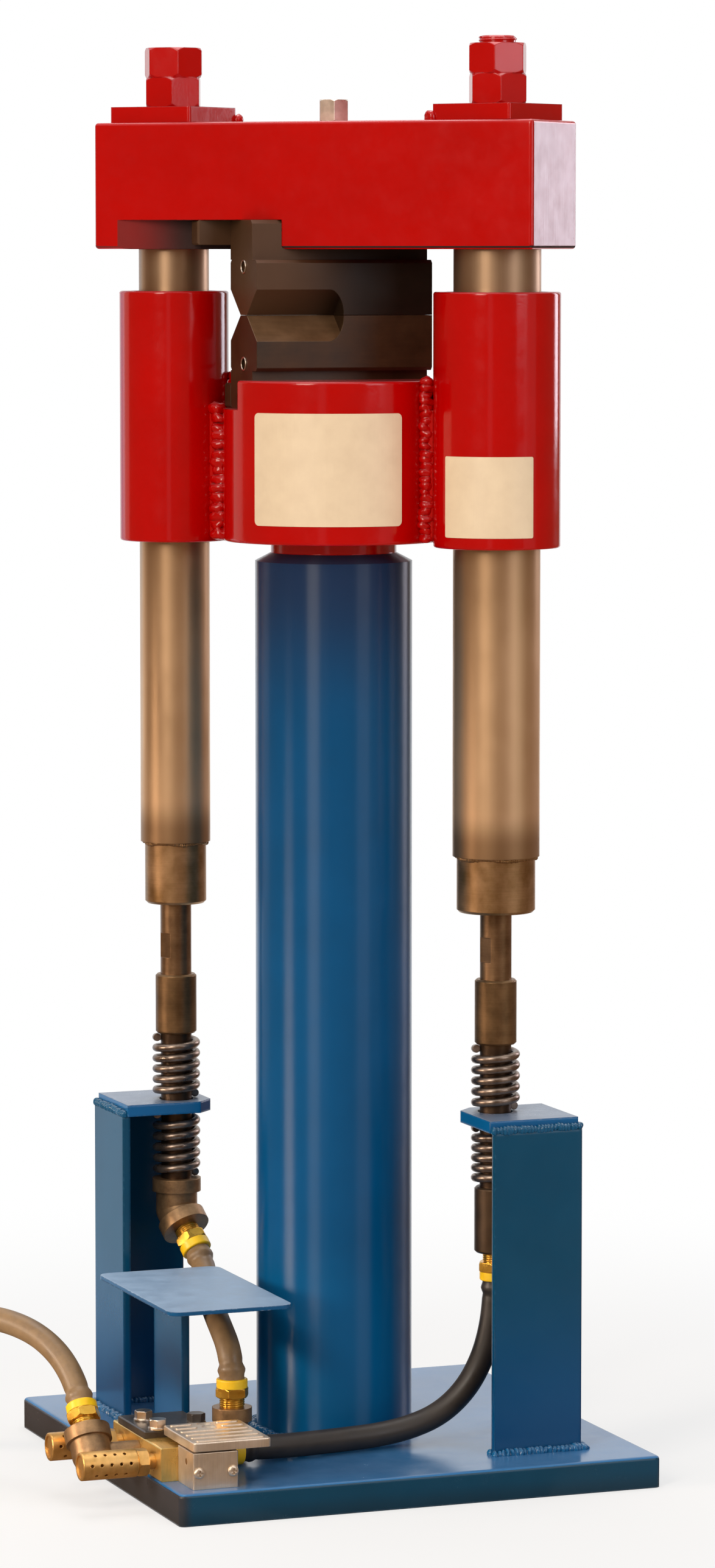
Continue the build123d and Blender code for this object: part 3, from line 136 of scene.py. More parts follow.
# Each lamp has a name, a place, the height it aims at over the base, its width and height, watts and tint.
LAMPS = [("key_softbox", (-2.88, -2.28, 2.4), 0.55, 1.2, 2.4, 78.0, "#fff4e6"),
         ("fill_softbox", (1.6, -3.6, 1.9), 0.55, 1.4, 2.0, 26.0, "#f4f6ff"),
         ("top_softbox", (0.2, 0.5, 3.2), 0.55, 1.8, 1.8, 40.0, "#ffffff"),
         ("low_left_softbox", (-2.0, 0.0, 0.6), 0.0, 0.6, 0.4, 1.1, "#ffe8d2"),
         ("right_strip", (3.0, 1.1, 1.45), 0.55, 0.8, 1.5, 21.0, "#f6f2ff"),
         ("left_strip", (-1.9, 2.6, 1.1), 0.55, 1.6, 2.4, 6.0, "#fff6ec")]
MIRRORED_ONLY = ("right_strip", "left_strip")
OPEN_SPREAD = 180
GRIDDED = {"low_left_softbox": 32}
for name, spot, aim, wide, tall, watts, tint in LAMPS:
    lamp = bpy.data.lights.new(name, "AREA")
    lamp.shape = "RECTANGLE"
    lamp.size = wide
    lamp.size_y = tall
    lamp.energy = watts
    lamp.color = linear(tint)[:3]
    lamp.spread = math.radians(GRIDDED.get(name, OPEN_SPREAD))
    holder = bpy.data.objects.new(name, lamp)
    holder.location = spot
    toward = Vector((0, 0, aim)) - Vector(spot)
    holder.rotation_euler = toward.to_track_quat("-Z", "Y").to_euler()
    holder.visible_diffuse = name not in MIRRORED_ONLY
    bpy.context.scene.collection.objects.link(holder)


# The workshop's brown wall and floor lie round the front of the studio, only to be mirrored in paint and
# steel. Some of the panels are concrete, in daylight or in shade. Turns are in degrees from the X axis.
def glowing(name, tint):
    """A surface that gives its own light."""
    made, tree, out = new_material(name)
    glow = add(tree, "ShaderNodeEmission", {"Color": linear(tint), "Strength": 1.0})
    tree.links.new(glow.outputs[0], out.inputs["Surface"])
    return made


UP = Vector((0, 0, 1))
WALL_REACH = 4.7
WALL_TOP = 4.0
WALL_MIDDLE = -110.5
WALL_SPAN = 152
WALL_STEP = 8
WALL_NEAR = 0.15
WALL_LIFT = 0.001
BROWN, DAYLIT, SHADED = 0, 1, 2
WALL_LIGHTS = [(-263, -232, DAYLIT), (-120, -117, SHADED), (-60, -35, SHADED)]
wall_brown = glowing("brown_workshop_wall", "#7c614a")
wall_shaded = glowing("shaded_concrete", "#a69b90")
wall_lit, tree, out = new_material("daylit_concrete")
place = add(tree, "ShaderNodeTexCoord")
away = add(tree, "ShaderNodeVectorMath", {0: place.outputs["Object"]}, operation="LENGTH")
# The daylit concrete is darker within 0.8 m of the base: a painted shadow of the machine on the mirrored
# floor.
painted_shadow_fade = add(tree, "ShaderNodeMapRange", {"Value": away.outputs["Value"], "From Min": 0.3, "From Max": 0.8})
tone = add(tree, "ShaderNodeMix", {0: painted_shadow_fade.outputs[0], 6: linear("#4a3c30"), 7: linear("#b6c4d8")},
           data_type="RGBA")
daylight = add(tree, "ShaderNodeEmission", {"Color": tone.outputs[2], "Strength": 1.2})
tree.links.new(daylight.outputs[0], out.inputs["Surface"])
spots = []
panels = []
finishes = []
for turn in range(-WALL_SPAN, WALL_SPAN + 1, WALL_STEP):
    heading = math.radians(WALL_MIDDLE + turn)
    way = Vector((math.cos(heading), math.sin(heading), 0.0))
    first = len(spots)
    spots += [way * WALL_NEAR + UP * WALL_LIFT, way * WALL_REACH, way * WALL_REACH + UP * WALL_TOP]
    if first:
        panels += [(first - 3, first, first + 1, first - 2), (first - 2, first + 1, first + 2, first - 1)]
        finish = BROWN
        for start, end, light in WALL_LIGHTS:
            if start < WALL_MIDDLE + turn < end:
                finish = light
        finishes += [finish, finish]
wall_mesh = bpy.data.meshes.new("workshop_wall")
wall_mesh.from_pydata(spots, [], panels)
for material in (wall_brown, wall_lit, wall_shaded):
    wall_mesh.materials.append(material)
for panel, finish in zip(wall_mesh.polygons, finishes):
    panel.material_index = finish
workshop_wall = bpy.data.objects.new("workshop_wall", wall_mesh)
bpy.context.scene.collection.objects.link(workshop_wall)
workshop_wall.visible_camera = False
workshop_wall.visible_diffuse = False
workshop_wall.visible_shadow = False
workshop_wall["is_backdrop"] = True

lens = bpy.data.cameras.new("long_lens")
lens.sensor_fit = "VERTICAL"
lens.sensor_height = 36.0
lens.sensor_width = 36.0
lens.lens = 130.42
lens.clip_end = 60.0
camera = bpy.data.objects.new("long_lens", lens)
camera.location = (-1.6136, -4.2974, 0.9885)
camera.rotation_euler = (math.radians(84.595), 0.0, math.radians(-20.821))
bpy.context.scene.collection.objects.link(camera)
bpy.context.scene.camera = camera
bpy.context.scene.view_settings.view_transform = "Standard"

# Base plate: flame-cut 1 inch steel plate, ground at its edges and sprayed with gloss blue enamel.
# It stands flat on the floor and carries the column, the stands and the foot valve.
MM = 0.001
RIGHTWARD = Vector((1, 0, 0))


def lay_tint(tree, place, tints, under):
    """A tint over a colour, for dirt and for painted light and shade: the way it grows, where it starts and
    is full in mm, its tint and its share.
    """
    way, start, full, tint, share = tints
    along = add(tree, "ShaderNodeVectorMath", {0: place.outputs["Object"], 1: way}, operation="DOT_PRODUCT")
    spread = add(tree, "ShaderNodeMapRange", {"Value": along.outputs["Value"], "From Min": start * MM,
                                              "From Max": full * MM, "To Max": share},
                 interpolation_type="SMOOTHSTEP")
    mixed = add(tree, "ShaderNodeMix", {0: spread.outputs[0], 6: under, 7: linear(tint)}, data_type="RGBA")
    return mixed.outputs[2]


def gloss_enamel(name, colour, deep, wear, roughness, dust_and_sheen="#b9c2cc", dust_and_sheen_share=0.12,
                 skin_mm=(2.6, 2.6, 2.6), relief=0.10, edge_mm=1.4, ior=1.5, turned=0.0, tints=()):
    """Sprayed machine enamel: a glossy coat with orange peel, clouds of thickness, rubbed edges, and dust
    with a painted sheen on faces that look up.

    The rings of a turned bar show through its paint, and draw what it mirrors out along the bar.
    """
    quarter_turn = 0.25
    made, tree, out = new_material(name)
    place = add(tree, "ShaderNodeTexCoord")
    clouds = add(tree, "ShaderNodeTexNoise", {"Vector": place.outputs["Object"], "Scale": 1 / (70 * MM),
                                              "Detail": 4.0, "Roughness": 0.55})
    coat = add(tree, "ShaderNodeMix", {0: clouds.outputs["Fac"], 6: linear(deep), 7: linear(colour)},
               data_type="RGBA")
    round_edge = add(tree, "ShaderNodeBevel", {"Radius": edge_mm * MM}, samples=6)
    face = add(tree, "ShaderNodeNewGeometry")
    align = add(tree, "ShaderNodeVectorMath", {0: round_edge.outputs[0], 1: face.outputs["Normal"]},
                operation="DOT_PRODUCT")
    edge = add(tree, "ShaderNodeMapRange", {"Value": align.outputs["Value"], "From Min": 0.96,
                                            "From Max": 0.80})
    chips = add(tree, "ShaderNodeTexNoise", {"Vector": place.outputs["Object"], "Scale": 1 / (5 * MM),
                                             "Detail": 5.0, "Roughness": 0.7})
    broken = add(tree, "ShaderNodeMapRange", {"Value": chips.outputs["Fac"], "From Min": 0.52,
                                              "From Max": 0.62})
    rubbed = add(tree, "ShaderNodeMath", {0: edge.outputs[0], 1: broken.outputs[0]}, operation="MULTIPLY")
    worn = add(tree, "ShaderNodeMix", {0: rubbed.outputs[0], 6: coat.outputs[2], 7: linear(wear)},
               data_type="RGBA")
    haze = add(tree, "ShaderNodeTexNoise", {"Vector": place.outputs["Object"], "Scale": 1 / (18 * MM),
                                            "Detail": 7.0, "Roughness": 0.72})
    gloss = add(tree, "ShaderNodeMapRange", {"Value": haze.outputs["Fac"], "From Min": 0.3, "From Max": 0.75,
                                             "To Min": roughness, "To Max": roughness + 0.10})
    way = add(tree, "ShaderNodeSeparateXYZ", {0: face.outputs["Normal"]})
    # Faces that look up are mixed towards a pale tint: settled dust, and a painted sheen of the light above.
    upward = add(tree, "ShaderNodeMapRange", {"Value": way.outputs["Z"], "From Min": 0.7, "From Max": 0.98})
    film = add(tree, "ShaderNodeMapRange", {"Value": haze.outputs["Fac"], "From Min": 0.2, "From Max": 0.7,
                                            "To Min": 0.6 * dust_and_sheen_share, "To Max": dust_and_sheen_share})
    dust_and_sheen_mask = add(tree, "ShaderNodeMath", {0: upward.outputs[0], 1: film.outputs[0]}, operation="MULTIPLY")
    paler = add(tree, "ShaderNodeMix", {0: dust_and_sheen_mask.outputs[0], 6: worn.outputs[2], 7: linear(dust_and_sheen)},
                data_type="RGBA")
    dull = add(tree, "ShaderNodeMath", {0: dust_and_sheen_mask.outputs[0], 1: 0.5, 2: gloss.outputs[0]},
               operation="MULTIPLY_ADD")
    stretch = add(tree, "ShaderNodeMapping", {"Vector": place.outputs["Object"],
                                              "Scale": [1 / (size * MM) for size in skin_mm]})
    peel = add(tree, "ShaderNodeTexNoise", {"Vector": stretch.outputs[0], "Scale": 1.0, "Detail": 2.0})
    skin = add(tree, "ShaderNodeBump", {"Height": peel.outputs["Fac"], "Strength": relief,
                                        "Distance": 0.25 * MM, "Normal": round_edge.outputs[0]})
    coated = paler.outputs[2]
    for layer in tints:
        coated = lay_tint(tree, place, layer, coated)
    paint = add(tree, "ShaderNodeBsdfPrincipled", {"Base Color": coated, "Roughness": dull.outputs[0],
                                                   "Normal": skin.outputs[0], "IOR": ior,
                                                   "Anisotropic": turned,
                                                   "Anisotropic Rotation": quarter_turn})
    if turned:
        rings = add(tree, "ShaderNodeTangent", direction_type="RADIAL", axis="Z")
        tree.links.new(rings.outputs[0], paint.inputs["Tangent"])
    tree.links.new(paint.outputs[0], out.inputs["Surface"])
    return made


def dress(material, *names):
    """Gives CAD nodes their finish."""
    for name in names:
        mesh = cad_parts[name].data
        mesh.materials.clear()
        mesh.materials.append(material)


def dress_faces(material, name, chosen):
    """Gives some faces of a CAD node another finish."""
    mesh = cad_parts[name].data
    mesh.materials.append(material)
    for face in mesh.polygons:
        if chosen(face):
            face.material_index = len(mesh.materials) - 1


# The top takes a lighter copy of the blue enamel, as painted light, and the sawn edges a darker copy, as
# painted shade.
blue_enamel = gloss_enamel("gloss_blue_enamel_painted_lighter", "#066eac", "#045c94", "#55789a", 0.12, edge_mm=2.8)
dress(blue_enamel, "base_plate")
# The edges turn brown at the left end and darker towards the floor: painted shade.
edge_enamel = gloss_enamel("blue_enamel_on_sawn_edge_painted_darker", "#064561", "#04364c", "#55789a", 0.20, edge_mm=2.8,
                           ior=1.4, tints=[(RIGHTWARD, -192, -202, "#3a302a", 0.75),
                                          (UP, 17, 2, "#16242b", 0.40)])
dress_faces(edge_enamel, "base_plate", lambda face: abs(face.normal.z) < 0.5)

# Anvil column: a solid round steel bar turned to a neck at its top, welded to the base and painted with it.
# Its enamel is a darker copy of the base's blue, as painted shade; it is darker still towards the cap, and
# painted lighter towards its foot as painted light.
column_enamel = gloss_enamel("blue_enamel_below_anvil_with_painted_light", "#005284", "#00446e", "#55789a", 0.28,
                             relief=0.03, edge_mm=0.0, ior=1.38, turned=1.0,
                             tints=[(UP, 590, 728, "#1f2742", 0.78), (UP, 210, 70, "#046498", 0.55)])
dress(column_enamel, "anvil_column")

# Anvil cap and guide sleeves: heavy steel rounds in gloss red enamel. The cap is slotted for the lower die,
# and a sleeve is welded to each side of it to guide a cylinder tube.
red_enamel = gloss_enamel("gloss_red_enamel", "#c60000", "#ae0000", "#5c0a08", 0.09)
dress(red_enamel, "anvil_cap", "left_guide_sleeve", "right_guide_sleeve", "sleeve_welds")
COLUMN_SHOULDER = 743.0
dress_faces(red_enamel, "anvil_column", lambda face: face.center.z > COLUMN_SHOULDER * MM)


# Sleeve weld beads: stacked ripples of weld metal in the corners between the cap and each sleeve,
# brushed over with the same enamel. Other beads hold the washers, stands, post and column.
def finish_tree(tree, socket, material):
    """Ends a geometry tree the same way each time: realized, smooth, with its material."""
    real = add(tree, "GeometryNodeRealizeInstances", {0: socket})
    smooth = add(tree, "GeometryNodeSetShadeSmooth", {0: real.outputs[0]})
    dressed = add(tree, "GeometryNodeSetMaterial", {0: smooth.outputs[0], "Material": material})
    add(tree, "NodeGroupOutput", {0: dressed.outputs[0]})


def new_tree(name, sizes):
    """A geometry tree with a geometry input and output and one named input for each size."""
    tree = bpy.data.node_groups.new(name, "GeometryNodeTree")
    tree.interface.new_socket("Geometry", in_out="INPUT", socket_type="NodeSocketGeometry")
    tree.interface.new_socket("Geometry", in_out="OUTPUT", socket_type="NodeSocketGeometry")
    for size in sizes:
        tree.interface.new_socket(size, in_out="INPUT", socket_type="NodeSocketFloat")
    return tree, add(tree, "NodeGroupInput")


def poly_line(name, points, closed=False):
    """A curve object of straight runs through the points, in metres."""
    line = bpy.data.curves.new(name, "CURVE")
    line.dimensions = "3D"
    run = line.splines.new("POLY")
    run.points.add(len(points) - 1)
    for spot, point in zip(run.points, points):
        spot.co = (*point, 1.0)
    run.use_cyclic_u = closed
    made = bpy.data.objects.new(name, line)
    bpy.context.scene.collection.objects.link(made)
    return made


def grow(name, seed_object, tree, sizes):
    """Runs a geometry tree on an object and keeps the result as a plain mesh object of that name."""
    modifier = seed_object.modifiers.new("grow", "NODES")
    modifier.node_group = tree
    sockets = {item.name: item.identifier for item in tree.interface.items_tree if item.in_out == "INPUT"}
    for size, value in sizes.items():
        modifier[sockets[size]] = value
    bpy.context.view_layer.update()
    ready = seed_object.evaluated_get(bpy.context.evaluated_depsgraph_get())
    mesh = bpy.data.meshes.new_from_object(ready)
    mesh.name = name
    bpy.data.objects.remove(seed_object)
    made = bpy.data.objects.new(name, mesh)
    bpy.context.scene.collection.objects.link(made)
    return made


def weld_tree(material):
    """Overlapping dabs of weld metal along a line, each of its own size and lean, with a lumpy skin."""
    tree, given = new_tree("weld_" + material.name, ("Pitch", "Radius", "Length", "Lumps"))
    steps = add(tree, "GeometryNodeResampleCurve", {"Curve": given.outputs["Geometry"],
                                                    "Length": given.outputs["Pitch"]}, mode="LENGTH")
    drop = add(tree, "GeometryNodeMeshUVSphere", {"Segments": 18, "Rings": 10, "Radius": 1.0})
    along = add(tree, "GeometryNodeInputTangent")
    turn = add(tree, "FunctionNodeAlignRotationToVector", {"Vector": along.outputs[0]}, axis="Z")
    most_lean = Vector((0.30, 0.30, 3.0))
    lean = add(tree, "FunctionNodeRandomValue", {"Min": -most_lean, "Max": most_lean, "Seed": 5},
               data_type="FLOAT_VECTOR")
    leaning = add(tree, "FunctionNodeRotateRotation", {"Rotation": turn.outputs[0],
                                                       "Rotate By": lean.outputs[0]}, rotation_space="LOCAL")
    uneven = add(tree, "FunctionNodeRandomValue", {"Min": 0.84, "Max": 1.12, "Seed": 11}, data_type="FLOAT")
    wide = add(tree, "ShaderNodeMath", {0: given.outputs["Radius"], 1: uneven.outputs[1]},
               operation="MULTIPLY")
    size = add(tree, "ShaderNodeCombineXYZ", {"X": wide.outputs[0], "Y": wide.outputs[0],
                                              "Z": given.outputs["Length"]})
    beads = add(tree, "GeometryNodeInstanceOnPoints", {
        "Points": steps.outputs[0], "Instance": drop.outputs[0], "Rotation": leaning.outputs[0],
        "Scale": size.outputs[0]})
    solid = add(tree, "GeometryNodeRealizeInstances", {0: beads.outputs[0]})
    spatter = add(tree, "ShaderNodeTexNoise", {"Scale": 1 / (8 * MM), "Detail": 3.0})
    swing = add(tree, "ShaderNodeMath", {0: spatter.outputs[0], 1: 0.5}, operation="SUBTRACT")
    height = add(tree, "ShaderNodeMath", {0: swing.outputs[0], 1: given.outputs["Lumps"]},
                 operation="MULTIPLY")
    outward = add(tree, "GeometryNodeInputNormal")
    push = add(tree, "ShaderNodeVectorMath", {0: outward.outputs[0], "Scale": height.outputs[0]},
               operation="SCALE")
    lumpy = add(tree, "GeometryNodeSetPosition", {"Geometry": solid.outputs[0], "Offset": push.outputs[0]})
    finish_tree(tree, lumpy.outputs[0], material)
    return tree


red_weld_tree = weld_tree(red_enamel)
# Base beads: a lighter blue with near-white chips on the lumps, as painted glints.
glinting_weld_enamel = gloss_enamel("blue_enamel_on_weld_with_painted_glints", "#1a70a8", "#07486f", "#d5e0ea", 0.05,
                                  dust_and_sheen_share=0.2, skin_mm=(1.5, 1.5, 1.5), relief=0.4, edge_mm=0.6)
# The top beads take the stands' darker copy of the blue, as painted shade.
weld_enamel = gloss_enamel("blue_enamel_on_top_weld_painted_darker", "#0b577f", "#084766", "#55789a", 0.12, edge_mm=0.6)
blue_weld_tree = weld_tree(weld_enamel)
glinting_weld_tree = weld_tree(glinting_weld_enamel)


def weld(name, tree, points, radius, body, closed=False):
    """One run of weld bead, in millimetres. A dab's other sizes are shares of its radius."""
    line = poly_line(name + "_line", [Vector(p) * MM for p in points], closed)
    made = grow(name, line, tree, {"Pitch": 0.85 * radius * MM, "Radius": radius * MM,
                                   "Length": 0.68 * radius * MM, "Lumps": 1.25 * radius * MM})
    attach(made, body)


SPACING = 142.84
CAP_RADIUS = 88.9
RIGHT_SLEEVE_RADIUS = 50.8
BEAD_LOW = 757
BEAD_TOP = 884
BEAD_BY_SLOT_TOP = 858
BEAD_STEP = 4
SWAY, SWAY_RATE = 0.8, 0.48
DRIFT, DRIFT_RATE = 0.5, 0.18
SLEEVES = [("left", -1, 44.45, 16.5, 8.3), ("right", 1, RIGHT_SLEEVE_RADIUS, 20.5, 6.0)]
for side_name, toward, sleeve_radius, spread, bead in SLEEVES:
    reach = (CAP_RADIUS + SPACING - sleeve_radius) / 2
    along = Vector((toward, -toward, 0)) / math.sqrt(2)
    for face_name, face in (("front", -1), ("back", 1)):
        across = Vector((face, face, 0)) / math.sqrt(2)
        run = []
        top = BEAD_BY_SLOT_TOP if (side_name, face_name) == ("left", "front") else BEAD_TOP
        for height in range(BEAD_LOW, top, BEAD_STEP):
            sway = SWAY * math.sin(SWAY_RATE * height + toward)
            drift = DRIFT * math.sin(DRIFT_RATE * height + face)
            spot = along * (reach + (sway + drift)) + across * spread
            run.append((spot.x, spot.y, height))
        weld(f"{side_name}_sleeve_{face_name}_bead", red_weld_tree, run, bead, "frame")

# Washer welds: a short bead of weld metal at the back of each square washer, painted over with the crosshead.
# It keeps the washer from turning when the nuts are drawn up.
WASHER_SIDE = 75.0
WASHER_BEAD_OUT, WASHER_BEAD_UP = 2.0, 2.5
CROSSHEAD_TOP = 1088.0
LEFT_ROD = (-101.0, 101.0)
RIGHT_ROD = (101.0, -101.0)
for side_name, centre, facing in (("left", LEFT_ROD, 40.0), ("right", RIGHT_ROD, 123.0)):
    outward = Vector((math.cos(math.radians(facing)), math.sin(math.radians(facing)), 0))
    across = Vector((-outward.y, outward.x, 0))
    middle = Vector((*centre, CROSSHEAD_TOP + WASHER_BEAD_UP)) + outward * (WASHER_SIDE / 2 + WASHER_BEAD_OUT)
    run = [middle + across * reach for reach in (-WASHER_SIDE / 2, 0, WASHER_SIDE / 2)]
    weld(f"{side_name}_washer_bead", red_weld_tree, run, 5.5, "ram")

# Column, stand and post welds: one pass of bead along each joint, laid by hand on the bare steel and
# painted over with the blue enamel. The beads on the base are painted a lighter blue with near-white chips on
# their lumps: bare steel, and painted glints.
ANGLE_EDGE, ANGLE_HEEL, ANGLE_INSIDE, ANGLE_BROW = 78.8, 156.5, 147.2, 153.2
ANGLE_FOOT = 26.2
COLUMN_TOE, COLUMN_BEAD_HEIGHT = 66.0, 26.0
POST_LEFT, POST_RIGHT, POST_FRONT, POST_BACK = -142.7, -134.3, -29.0, 41.0
POST_FOOT, POST_HEAD = 26.4, 153.0


def ring_of_points(centre, radius, height, step, waves=0, wave_height=0.0):
    """Points round a circle, in millimetres, one every few degrees, level or in waves."""
    points = []
    for turn in range(0, 360, step):
        angle = math.radians(turn)
        wave = wave_height * math.sin(waves * angle)
        points.append((centre[0] + radius * math.cos(angle), centre[1] + radius * math.sin(angle),
                       height + wave))
    return points


def angle_run(side, reach, height):
    """A line along both legs of a stand's angle, from one leg's edge round the corner to the other's."""
    return [(-ANGLE_EDGE * side, reach * side, height), (-reach * side, reach * side, height),
            (-reach * side, ANGLE_EDGE * side, height)]


round_joint = ring_of_points((0, 0), COLUMN_TOE, COLUMN_BEAD_HEIGHT, 5)
weld("column_base_bead", glinting_weld_tree, round_joint, 5.0, "frame", True)
for side_name, side, brow_height in (("left", 1, 280.5), ("right", -1, 287.5)):
    foot = angle_run(side, ANGLE_HEEL, ANGLE_FOOT)
    weld(f"{side_name}_stand_base_bead", glinting_weld_tree, foot, 4.2, "frame")
    inside = angle_run(side, ANGLE_INSIDE, ANGLE_FOOT)
    weld(f"{side_name}_stand_inner_bead", glinting_weld_tree, inside, 3.6, "frame")
    brow = angle_run(side, ANGLE_BROW, brow_height)
    weld(f"{side_name}_stand_top_bead", blue_weld_tree, brow, 3.4, "frame")
post_joint = [(POST_LEFT, POST_BACK, POST_FOOT), (POST_LEFT, POST_FRONT - 1, POST_FOOT),
              (POST_RIGHT, POST_FRONT - 1, POST_FOOT), (POST_RIGHT, POST_BACK, POST_FOOT)]
weld("guard_post_base_bead", glinting_weld_tree, post_joint, 5.4, "frame")
post_head = [(POST_LEFT, POST_BACK, POST_HEAD), (POST_LEFT, POST_FRONT, POST_HEAD)]
weld("guard_post_top_bead", blue_weld_tree, post_head, 3.0, "frame")


# Nameplate grounds: two blank cream plates with rounded corners, cut from thin vinyl sheet.
# They are stuck on the cap and on the right sleeve, and bend with them.
def curved_plate(name, centre, radius, turns, heights, corner_mm, material):
    """A thin plate bent to a cylinder: turns in degrees, heights and sizes in millimetres."""
    thick = 0.45
    glue = 0.15
    columns = 40
    corner_steps = 6
    wide = math.radians(turns[1] - turns[0]) * radius
    in_corner = [corner_mm * (1 - math.cos(math.pi / 2 * i / corner_steps)) for i in range(corner_steps + 1)]
    stops = [wide * i / columns for i in range(columns + 1)] + in_corner + [wide - u for u in in_corner]
    shell = bmesh.new()
    rows = []
    for u in sorted({round(stop, 4) for stop in stops}):
        turn = math.radians(turns[0]) + u / radius
        inset = corner_mm - min(u, wide - u, corner_mm)
        sag = corner_mm - math.sqrt(max(corner_mm ** 2 - inset ** 2, 0.0))
        row = []
        for r in (radius + glue, radius + glue + thick):
            for height in (heights[0] + sag, heights[1] - sag):
                spot = Vector((centre[0] + r * math.cos(turn), centre[1] + r * math.sin(turn), height))
                row.append(shell.verts.new(spot * MM))
        rows.append(row)
    for a, b in zip(rows, rows[1:]):
        shell.faces.new((a[2], b[2], b[3], a[3]))
        shell.faces.new((a[0], a[1], b[1], b[0]))
        shell.faces.new((a[1], a[3], b[3], b[1]))
        shell.faces.new((a[0], b[0], b[2], a[2]))
    shell.faces.new((rows[0][0], rows[0][2], rows[0][3], rows[0][1]))
    shell.faces.new((rows[-1][0], rows[-1][1], rows[-1][3], rows[-1][2]))
    bmesh.ops.recalc_face_normals(shell, faces=shell.faces)
    mesh = bpy.data.meshes.new(name)
    shell.to_mesh(mesh)
    shell.free()
    mesh.materials.append(material)
    made = bpy.data.objects.new(name, mesh)
    bpy.context.scene.collection.objects.link(made)
    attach(made, "frame")


cream_vinyl, tree, out = new_material("cream_vinyl_plate")
place = add(tree, "ShaderNodeTexCoord")
smudge = add(tree, "ShaderNodeTexNoise", {"Vector": place.outputs["Object"], "Scale": 1 / (14 * MM),
                                          "Detail": 6.0})
tone = add(tree, "ShaderNodeMix", {0: smudge.outputs["Fac"], 6: linear("#e5c9a7"), 7: linear("#f8deba")},
           data_type="RGBA")
vinyl = add(tree, "ShaderNodeBsdfPrincipled", {"Base Color": tone.outputs[2], "Roughness": 0.38, "IOR": 1.5})
tree.links.new(vinyl.outputs[0], out.inputs["Surface"])
curved_plate("cap_blank_plate", (0, 0), CAP_RADIUS, (-155.2, -73.3), (767.1, 856.7), 4.0, cream_vinyl)
curved_plate("sleeve_blank_plate", RIGHT_ROD, RIGHT_SLEEVE_RADIUS, (-164.8, -78.1), (758.9, 823.2), 1.5,
             cream_vinyl)


# Dies and keys: hardened tool steel, milled and oil-blackened. The drawing halves are bevelled with a round
# run-out where the cutter stopped. A flat key wedges each die's tongue in its slot.
def worked_metal(name, colour, deep, roughness, grain_mm, relief, metallic=1.0, blotch_mm=30.0, tints=()):
    """Bare or oxidised metal with the marks of its making. Grain is their size along X, Y and Z."""
    made, tree, out = new_material(name)
    place = add(tree, "ShaderNodeTexCoord")
    stretch = add(tree, "ShaderNodeMapping", {"Vector": place.outputs["Object"],
                                              "Scale": [1 / (size * MM) for size in grain_mm]})
    marks = add(tree, "ShaderNodeTexNoise", {"Vector": stretch.outputs[0], "Scale": 1.0, "Detail": 4.0,
                                             "Roughness": 0.6})
    blotch = add(tree, "ShaderNodeTexNoise", {"Vector": place.outputs["Object"],
                                              "Scale": 1 / (blotch_mm * MM), "Detail": 6.0,
                                              "Roughness": 0.62})
    patch = add(tree, "ShaderNodeMapRange", {"Value": blotch.outputs["Fac"], "From Min": 0.32,
                                             "From Max": 0.68})
    tone = add(tree, "ShaderNodeMix", {0: patch.outputs[0], 6: linear(deep), 7: linear(colour)},
               data_type="RGBA")
    streak = add(tree, "ShaderNodeMapRange", {"Value": marks.outputs["Fac"], "From Min": 0.25,
                                              "From Max": 0.75, "To Min": 0.86, "To Max": 1.06})
    shade = add(tree, "ShaderNodeMix", {0: 1.0, 6: tone.outputs[2], 7: streak.outputs[0]}, data_type="RGBA",
                blend_type="MULTIPLY")
    polish = add(tree, "ShaderNodeMapRange", {"Value": blotch.outputs["Fac"], "From Min": 0.3,
                                              "From Max": 0.7, "To Min": roughness - 0.06,
                                              "To Max": roughness + 0.08})
    round_edge = add(tree, "ShaderNodeBevel", {"Radius": 0.8 * MM}, samples=6)
    scratch = add(tree, "ShaderNodeBump", {"Height": marks.outputs["Fac"], "Strength": relief,
                                           "Distance": 0.2 * MM, "Normal": round_edge.outputs[0]})
    coated = shade.outputs[2]
    for layer in tints:
        coated = lay_tint(tree, place, layer, coated)
    metal = add(tree, "ShaderNodeBsdfPrincipled", {"Base Color": coated, "Roughness": polish.outputs[0],
                                                   "Normal": scratch.outputs[0], "Metallic": metallic})
    tree.links.new(metal.outputs[0], out.inputs["Surface"])
    return made


black_die_steel = worked_metal("oil_blackened_tool_steel", "#4e351f", "#332213", 0.40, (30, 3, 3), 0.12, 0.35,
                               45.0)
dress(black_die_steel, "lower_die", "lower_die_key")
# The lower die's bevels face up and are painted lighter: painted light.
lit_bevel_die_steel = worked_metal("tool_steel_with_painted_light", "#8d6a4b", "#6b4d33", 0.34, (30, 3, 3), 0.12, 0.35, 45.0)
BEVEL_LOW = 905.0
dress_faces(lit_bevel_die_steel, "lower_die",
            lambda face: max(abs(n) for n in face.normal) < 0.97 and face.center.z > BEVEL_LOW * MM)
# The upper die and its key are a darker copy, as painted shade under the crosshead, painted lighter towards
# their left ends as a painted sheen.
shaded_die_steel = worked_metal("tool_steel_with_painted_shade_and_sheen", "#22170d", "#160e07", 0.46, (30, 3, 3), 0.12, 0.35, 45.0,
                                tints=[(RIGHTWARD, 20, -60, "#6a472b", 0.60)])
dress(shaded_die_steel, "upper_die", "upper_die_key")

# Crosshead: a flame-cut steel bar bored for both cylinder heads, in red enamel over the dragged torch lines
# of its ends. Square washers and double nuts hold each stud, and a plated hex bolt holds the upper die.
dress(red_enamel, "crosshead", "crosshead_washers", "crosshead_nuts", "tube_heads")
# The cut ends take a darker red as painted shade, so that only their sheen is pale.
shaded_torch_cut_enamel = gloss_enamel("red_enamel_on_torch_cut_painted_darker", "#8e0a0a", "#6e0606", "#5c0a08", 0.18,
                                skin_mm=(1.6, 1.6, 38), relief=0.30)
